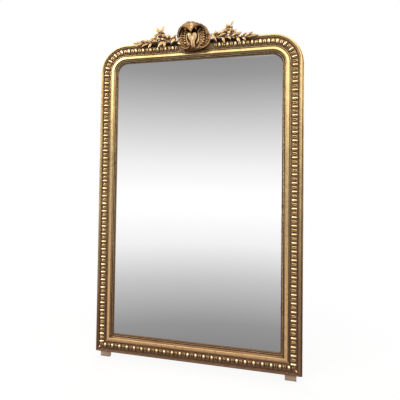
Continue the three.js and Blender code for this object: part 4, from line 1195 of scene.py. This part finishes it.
class MIRROR_OT_cartouche(Operator):
    """Carves the cartouche: ground, hood, shield, scrolls and pearls"""

    bl_idname = "mirror.cartouche"
    bl_label = "Cartouche"

    def execute(self, context):
        c = context.scene.mirror_colours
        dark = [v * 0.62 for v in c.crest_shade]
        gilt = gilding("gilt_cartouche", c.crest_leaf, c.crest_shade, shine=0.22, reach=0.005)
        dull = gilding("gilt_hood", c.crest_shade, dark, shine=0.26, reach=0.005)
        light = gilding("gilt_shield", c.shield_leaf, c.crest_shade, age=0.7, reach=0.012)
        make("ground", Body().join(self.ground()), dull, ["crest_ground"])
        make("hood", self.hood(), dull, ["crest_hood"], crease=60)
        make("shield", self.shield(), light, ["crest_shield"], crease=50)
        for name, side in (("left", -1), ("right", 1)):
            scroll, pearls = f"crest_scroll_{name}", f"crest_pearls_{name}"
            make(f"scroll_{name}", self.scroll(side), dull, [scroll])
            make(pearls, self.pearls(side), gilt, [pearls])
        return {"FINISHED"}

    def ground(self):
        """The block that carries the carving, fluted round the shield."""
        angle = np.linspace(-math.pi / 2, math.pi / 2, 73)
        radius = hood_wall(angle) * 0.9 - HOOD_THICKNESS - SEAT_GAP
        upper = np.stack([radius * np.sin(angle), CREST_CENTRE + radius * np.cos(angle)], axis=-1)
        right = bend(upper[-1], (68, -30), (54, -60), (0, -60), 24)
        left = bend((0, -60), (-54, -60), (-68, -30), upper[0], 24)[:-1]
        outline = np.concatenate([upper, right, left])
        middle = np.array([0.0, -6.0])
        turn = np.arctan2(*(outline - middle).T)
        flute = 0.5 - 0.5 * np.cos(16 * turn)
        face = CREST_FRONT - 0.2
        rim = [(1.0, CREST_BACK + 4), (1.05, face - 2.5), (1.05, face + 5), (1.02, face + 8)]
        cuts = ((0.9, 0.6), (0.82, 2), (0.72, 3), (0.6, 3), (0.5, 2), (0.42, 0.6))
        steps = [*rim, (0.96, face + 5), *((share, face - cut * flute) for share, cut in cuts)]
        return ringed(outline, middle, [*steps, (0.3, face), (0.02, face)])

    def hood(self):
        """A ribbed shell that curls forward into a rolled lip with two lobes."""
        angle = np.linspace(-math.pi / 2, math.pi / 2, 145)[:, None]
        # Up the wall as far as 0.4, then forward to the lip
        t = np.concatenate([np.linspace(0, 0.4, 7)[:-1], np.linspace(0.4, 1, 26)])[None, :]
        turn = ramp(t, 0.4, 0.6) * math.pi / 2
        up, forward = np.cos(turn), np.sin(turn)
        wall = hood_wall(angle) * (0.9 + 0.1 * ramp(t, 0, 0.4))
        away = angle - HOOD_LEAN
        left_lip = 66 - 51 * np.exp(-(np.abs(away / 0.55) ** 3))
        lip = np.where(away < 0, left_lip, 62 - 47 * hump(away, 0.85))
        reach = HOOD_REACH - HOOD_THICKNESS - HOOD_SHOULDER - 1.5
        reach = reach * (0.55 + 0.45 * np.cos(angle)) - 6 * hump(away, 0.22)
        rib = 2.8 * (np.abs(np.cos(angle * HOOD_RIBS)) ** 0.7 - 1)
        rib = rib * ramp(t, 0, 0.5) * (1 - ramp(t, 0.74, 0.1))
        swell = rib + 2.2 * hump(t - 0.95, 0.035) - 3.2 * hump(t - 0.865, 0.03)
        drawn = up**0.6
        radius = lip + (wall - lip) * drawn + swell * up
        straight = CREST_BACK + (HOOD_SHOULDER - CREST_BACK) * t / 0.4
        curled = HOOD_SHOULDER + (reach + HOOD_THICKNESS + swell) * forward
        depth = np.where(t > 0.4, curled, straight)
        inner = lip + 1.5 + (wall - HOOD_THICKNESS - lip - 1.5) * drawn
        inner_depth = np.where(t > 0.4, HOOD_SHOULDER + reach * forward, depth)
        radius = np.concatenate([radius, inner[:, ::-1]], axis=1)
        depth = np.concatenate([depth, inner_depth[:, ::-1]], axis=1)
        rise = radius * np.cos(angle)
        rise *= (CREST_TOP - CREST_CENTRE - 0.2) / rise.max()
        points = crest_spot(HOOD_AXIS + radius * np.sin(angle), depth, CREST_CENTRE + rise)
        body = Body().join(lattice(points))
        for route in (
            [(-71, 20), (-65, 32), (-55, 38), (-45, 37), (-38, 31.5), (-42, 26), (-48, 28)],
            [(52, 20), (50, 27), (43, 34), (32, 39.5), (20, 40.5), (8, 36), (5, 28.5), (11, 26)],
        ):
            lifted = [(x, HOOD_REACH - 9.2 + 0.3 * i, z) for i, (x, z) in enumerate(route)]
            curl = smooth(lifted, 36)
            body.join(tube(crest_spot(*curl.T), np.linspace(1.68, 2.8, 37), sides=10))
        return body

    def shield(self):
        """A puffed, creased shield with a tongue, between two bands that curl in at its foot."""
        half, top, low, end, tongue = 24.0, 23.0, -33.0, -60.0, 10.0
        right = bend((0, top - 11), (half * 0.3, top), (half * 0.9, top + 2), (half, top * 0.3), 12)
        right += bend((half, top * 0.3), (half + 1, -10), (tongue + 4, low + 12), (tongue, low), 14)
        right += np.linspace((tongue, low), (tongue, end + 6), 6)[1:].tolist()
        right += arc((tongue, end + 6), (tongue, end), (0, end), 6)
        right = np.array(right)
        left = right[::-1][1:] * (-1, 1)
        outline = np.concatenate([right, left, [(0, top - 11)]])
        middle = np.array([0.0, -14.0])
        rows = []
        front, back = 69.0, CREST_FRONT - 0.5
        for share, puff in ((1, 0), (1, 0.3), (0.985, 0.48), (0.95, 0.64), (0.88, 0.8), (0.78, 0.9),
                            (0.64, 0.96), (0.48, 0.99), (0.3, 1.0), (0.14, 1.0), (0.02, 1.0)):
            flat = middle + (outline - middle) * share
            x, z = flat.T
            crease = 5.5 * hump(x, 2.6) * ramp(z, -16, 20)
            lobe = 2.0 * ramp(z, -6, 24) * (1 - hump(x, 6))
            depth = back + (front - back - 2) * puff + (lobe - crease) * puff
            lean = (z - end) * 0.1 + 2.5
            rows.append(crest_spot(CREST_AXIS - lean - 0.5 + x, depth, z))
        body = Body().join(lattice(np.array(rows)))
        bands = (
            [(-31, 22), (-38, 14), (-39, 0), (-37, -14), (-32, -28), (-25, -38), (-18, -43)],
            [(10, 26), (16, 18), (18, 4), (19, -10), (17, -24), (11, -35), (5, -40)],
        )
        for band in bands:
            points = smooth([(x - 1, CREST_FRONT + 6, z) for x, z in band], 30)
            knots, sizes = [0, 0.3, 0.65, 0.85, 1], [1.6, 3.0, 3.4, 4.6, 1.6]
            size = np.interp(np.linspace(0, 1, 31), knots, sizes)
            body.join(tube(crest_spot(*points.T), size, sides=12, press=1.3))
        return body

    def scroll(self, side):
        """A rim that runs down the side, round the foot and back into its eye."""
        route = [(73, 6), (74, -12), (68, -33), (55, -48), (39, -54)]
        route += [(27, -49), (24, -40), (30, -34), (34, -40)]
        points = smooth([(CREST_AXIS + side * x, CREST_FRONT + 5.5, z) for x, z in route], 54)
        knots, sizes = [0, 0.12, 0.4, 0.75, 1], [2.4, 3.6, 3.6, 2.9, 3.6]
        size = np.interp(np.linspace(0, 1, 55), knots, sizes)
        body = Body().join(tube(crest_spot(*points.T), size, sides=16, groove=0.35))
        inner = [(60, 2), (62, -14), (57, -30), (48, -40), (38, -43)]
        points = smooth([(CREST_AXIS + side * x, CREST_FRONT + 2, z) for x, z in inner], 28)
        body.join(tube(crest_spot(*points.T), np.linspace(1.6, 3.0, 29), sides=10))
        eye = crest_spot(CREST_AXIS + side * 29, CREST_FRONT + 5, -41)
        return body.join(ball(eye, (5.2, 6.5, 5.2)))

    def pearls(self, side):
        """A string of beads beside the shield, with small beads between them and the scroll."""
        body = Body()
        for i in range(CREST_PEARLS):
            last = i == CREST_PEARLS - 1
            z = CREST_CENTRE + 24 - i * CREST_PEARL_PITCH
            away = CREST_PEARL_INSET - 7 * ((z - CREST_CENTRE + 4) / 34) ** 2
            centre = crest_spot(CREST_AXIS + side * away, CREST_FRONT + 5.6, z)
            body.join(ball(centre, (5.6 + 0.5 * last, 6.4, 5.4 + last)))
            if not last:
                outer = crest_spot(CREST_AXIS + side * (away + 11.5), CREST_FRONT + 2.2, z - 5)
                body.join(ball(outer, (3.4, 4.4, 4.6), 10, 7))
        return body


class MIRROR_OT_sprays(Operator):
    """Carves the two sprays of foliage"""

    bl_idname = "mirror.sprays"
    bl_label = "Sprays"

    def execute(self, context):
        c = context.scene.mirror_colours
        leaf = [v * 0.8 for v in c.crest_leaf]
        gilt = gilding("gilt_foliage", leaf, c.crest_shade, shine=0.18, reach=0.013)
        for name, spray in (("left", LEFT_SPRAY), ("right", RIGHT_SPRAY)):
            for piece, body in (("branch", self.branch(spray)), ("flower", self.flower(spray))):
                node = f"crest_{piece}_{name}"
                make(f"{piece}_{name}", body, gilt, [node], crease=70)
        return {"FINISHED"}

    def place(self, x, lift, z):
        return crest_spot(x, SPRAY_DEPTH + lift, z)

    def branch(self, spray):
        stem = smooth([(x, 0, z) for x, z in spray["stem"]], 60)
        knots = 1 + 0.16 * np.sin(np.linspace(0, 40, 61))
        body = Body().join(tube(self.place(*stem.T), np.linspace(4.6, 2.3, 61) * knots, sides=10))
        for base, tip, width in spray["leaves"]:
            body.join(blade(self.place(*base), self.place(*tip), width))
        for base, tip, width in spray["behind"]:
            # Painted shade: the leaves behind the spray are darkened
            body.join(blade(self.place(*base), self.place(*tip), width, bow=3, curl=0), grime=0.5)
        for x, z in spray["berries"]:
            body.join(ball(self.place(x, 5, z), (5.0, 5.0, 5.0)))
            body.join(ball(self.place(x, 9.6, z), (1.4, 1.2, 1.4), 8, 5))
        return body

    def flower(self, spray):
        x, lift, z = spray["flower"]
        body = Body().join(ball(self.place(x, lift + 3, z), (6.0, 6.0, 6.0)))
        for i in range(7):
            turn = i * 2 * math.pi / 7
            seed = self.place(x + 4.2 * math.cos(turn), lift + 7.4, z + 4.2 * math.sin(turn))
            body.join(ball(seed, (1.7, 1.7, 1.7), 8, 5))
        for tip, width in spray["petals"]:
            petal = {"bow": 4, "fold": -0.15, "teeth": 2, "curl": 4}
            body.join(blade(self.place(x, lift, z), self.place(*tip), width, **petal))
        return body


# ---- Hangers


class MIRROR_OT_hangers(Operator):
    """Fits the straps, screws and rings on the back"""

    bl_idname = "mirror.hangers"
    bl_label = "Hangers"

    def execute(self, context):
        iron = forged_iron("hanger_iron", context.scene.mirror_colours.iron)
        for name, side in (("left", -1), ("right", 1)):
            self.middle = (side * (HALF_WIDTH - HANGER_INSET), HANGER_HEIGHT)
            pieces = {
                f"strap_{name}": self.strap(),
                f"screw_{name}_1": self.screw(-SCREW_FIRST, 1.5),
                f"screw_{name}_2": self.screw(-SCREW_FIRST - SCREW_PITCH, 2.5),
                f"ring_{name}": self.ring(),
            }
            for piece, body in pieces.items():
                rides = piece if piece.startswith("ring") else BODY
                crease = 35 if piece.startswith("strap") else 40
                make(piece, body, iron, [f"hanger_{piece}"], crease, rides)
        return {"FINISHED"}

    def place(self, across, behind, up):
        """Points about the ring's axis: across, behind the frame's back, and upward."""
        x, z = self.middle
        across, behind, up = (np.asarray(values, float) for values in (across, behind, up))
        return spot(x + across, -behind, z + up)

    def strap(self):
        """Flat bar folded round the ring's bar, its edges hammered round."""
        turn = np.linspace(math.pi, -math.pi / 2 - 0.5, 26)
        eye = EYE_RADIUS * np.stack([np.cos(turn), np.sin(turn)], axis=-1) + (EYE_MIDDLE, 0)
        tail = np.linspace((1.0, -57.9), (1.0, -2.0), 14)
        path = np.concatenate([tail, eye])
        along = unit(np.gradient(path, axis=0))
        normal = np.stack([-along[:, 1], along[:, 0]], axis=-1)
        half = [(-7.5, -0.5), (-7.1, -1), (7.1, -1), (7.5, -0.5)]
        edge = half + [(-x, -h) for x, h in half]
        narrow = np.interp(np.arange(len(path)), [0, 1.5, 4, len(path)], [0.72, 0.92, 1, 1])
        rows = [self.place(x * wide, p[0] + n[0] * h, p[1] + n[1] * h)
                for p, n, wide in zip(path, normal, narrow) for x, h in edge]
        return Body().join(lattice(np.array(rows).reshape(len(path), len(edge), 3)))

    def screw(self, up, turn):
        """A slotted round head."""
        rings = (
            (3.6, 2.0), (3.6, 2.25), (3.3, 2.8), (2.6, 3.15), (1.7, 3.35), (0.9, 3.4), (0.1, 3.4)
        )
        x, z, height = np.moveaxis(stacked(rings, 40), -1, 0)
        slot = np.abs(x * math.cos(turn) + z * math.sin(turn)) < 0.5
        height = np.where(slot, np.minimum(height, 2.5), height)
        return Body().join(lattice(self.place(x, height, up + z)))

    def ring(self):
        """A ring of wire with a straight bar along its top."""
        turn = np.linspace(0, -math.pi, 49)
        across = RING_HALF_WIDTH * np.sign(np.cos(turn)) * np.abs(np.cos(turn)) ** 0.55
        bow = np.stack([across, RING_DROP * np.sin(turn)], axis=-1)
        bar = np.linspace((-RING_HALF_WIDTH, 0), (RING_HALF_WIDTH, 0), 13)[1:-1]
        loop = np.concatenate([bow, bar])
        step = np.roll(loop, -1, axis=0) - np.roll(loop, 1, axis=0)
        out = unit(np.stack([step[:, 1], -step[:, 0]], axis=-1))
        angle = around(12)
        wide, deep = RING_WIRE * np.cos(angle), RING_WIRE * np.sin(angle)
        rows = [self.place(p[0] + o[0] * wide, EYE_MIDDLE + deep, p[1] + o[1] * wide)
                for p, o in zip(loop, out)]
        rows.append(rows[0])
        points, faces = lattice(np.array(rows), ends=False)
        count = len(angle) * len(loop)
        return Body().join((points[:count], [[i % count for i in face] for face in faces]))


OPERATORS = (
    MIRROR_OT_stage,
    MIRROR_OT_moulding,
    MIRROR_OT_ornament,
    MIRROR_OT_pearls,
    MIRROR_OT_glass,
    MIRROR_OT_back,
    MIRROR_OT_cartouche,
    MIRROR_OT_sprays,
    MIRROR_OT_hangers,
)


class MIRROR_PT_sidebar(Panel):
    """Lists the pieces of the mirror"""

    bl_idname = "MIRROR_PT_sidebar"
    bl_label = "Overmantel Mirror"
    bl_space_type = "VIEW_3D"
    bl_region_type = "UI"
    bl_category = "Mirror"

    def draw(self, context):
        for group in (context.scene.mirror_sizes, context.scene.mirror_colours):
            for name in group.__annotations__:
                self.layout.prop(group, name)
        for operator in OPERATORS:
            self.layout.operator(operator.bl_idname)


CLASSES = (MirrorColours, MirrorSizes, *OPERATORS, MIRROR_PT_sidebar)


def register():
    for each in CLASSES:
        bpy.utils.register_class(each)
    bpy.types.Scene.mirror_colours = PointerProperty(type=MirrorColours)
    bpy.types.Scene.mirror_sizes = PointerProperty(type=MirrorSizes)


def unregister():
    del bpy.types.Scene.mirror_sizes
    del bpy.types.Scene.mirror_colours
    for each in reversed(CLASSES):
        bpy.utils.unregister_class(each)


def main():
    register()
    for operator in OPERATORS:
        family, name = operator.bl_idname.split(".")
        getattr(getattr(bpy.ops, family), name)()


if __name__ == "__main__":
    main()
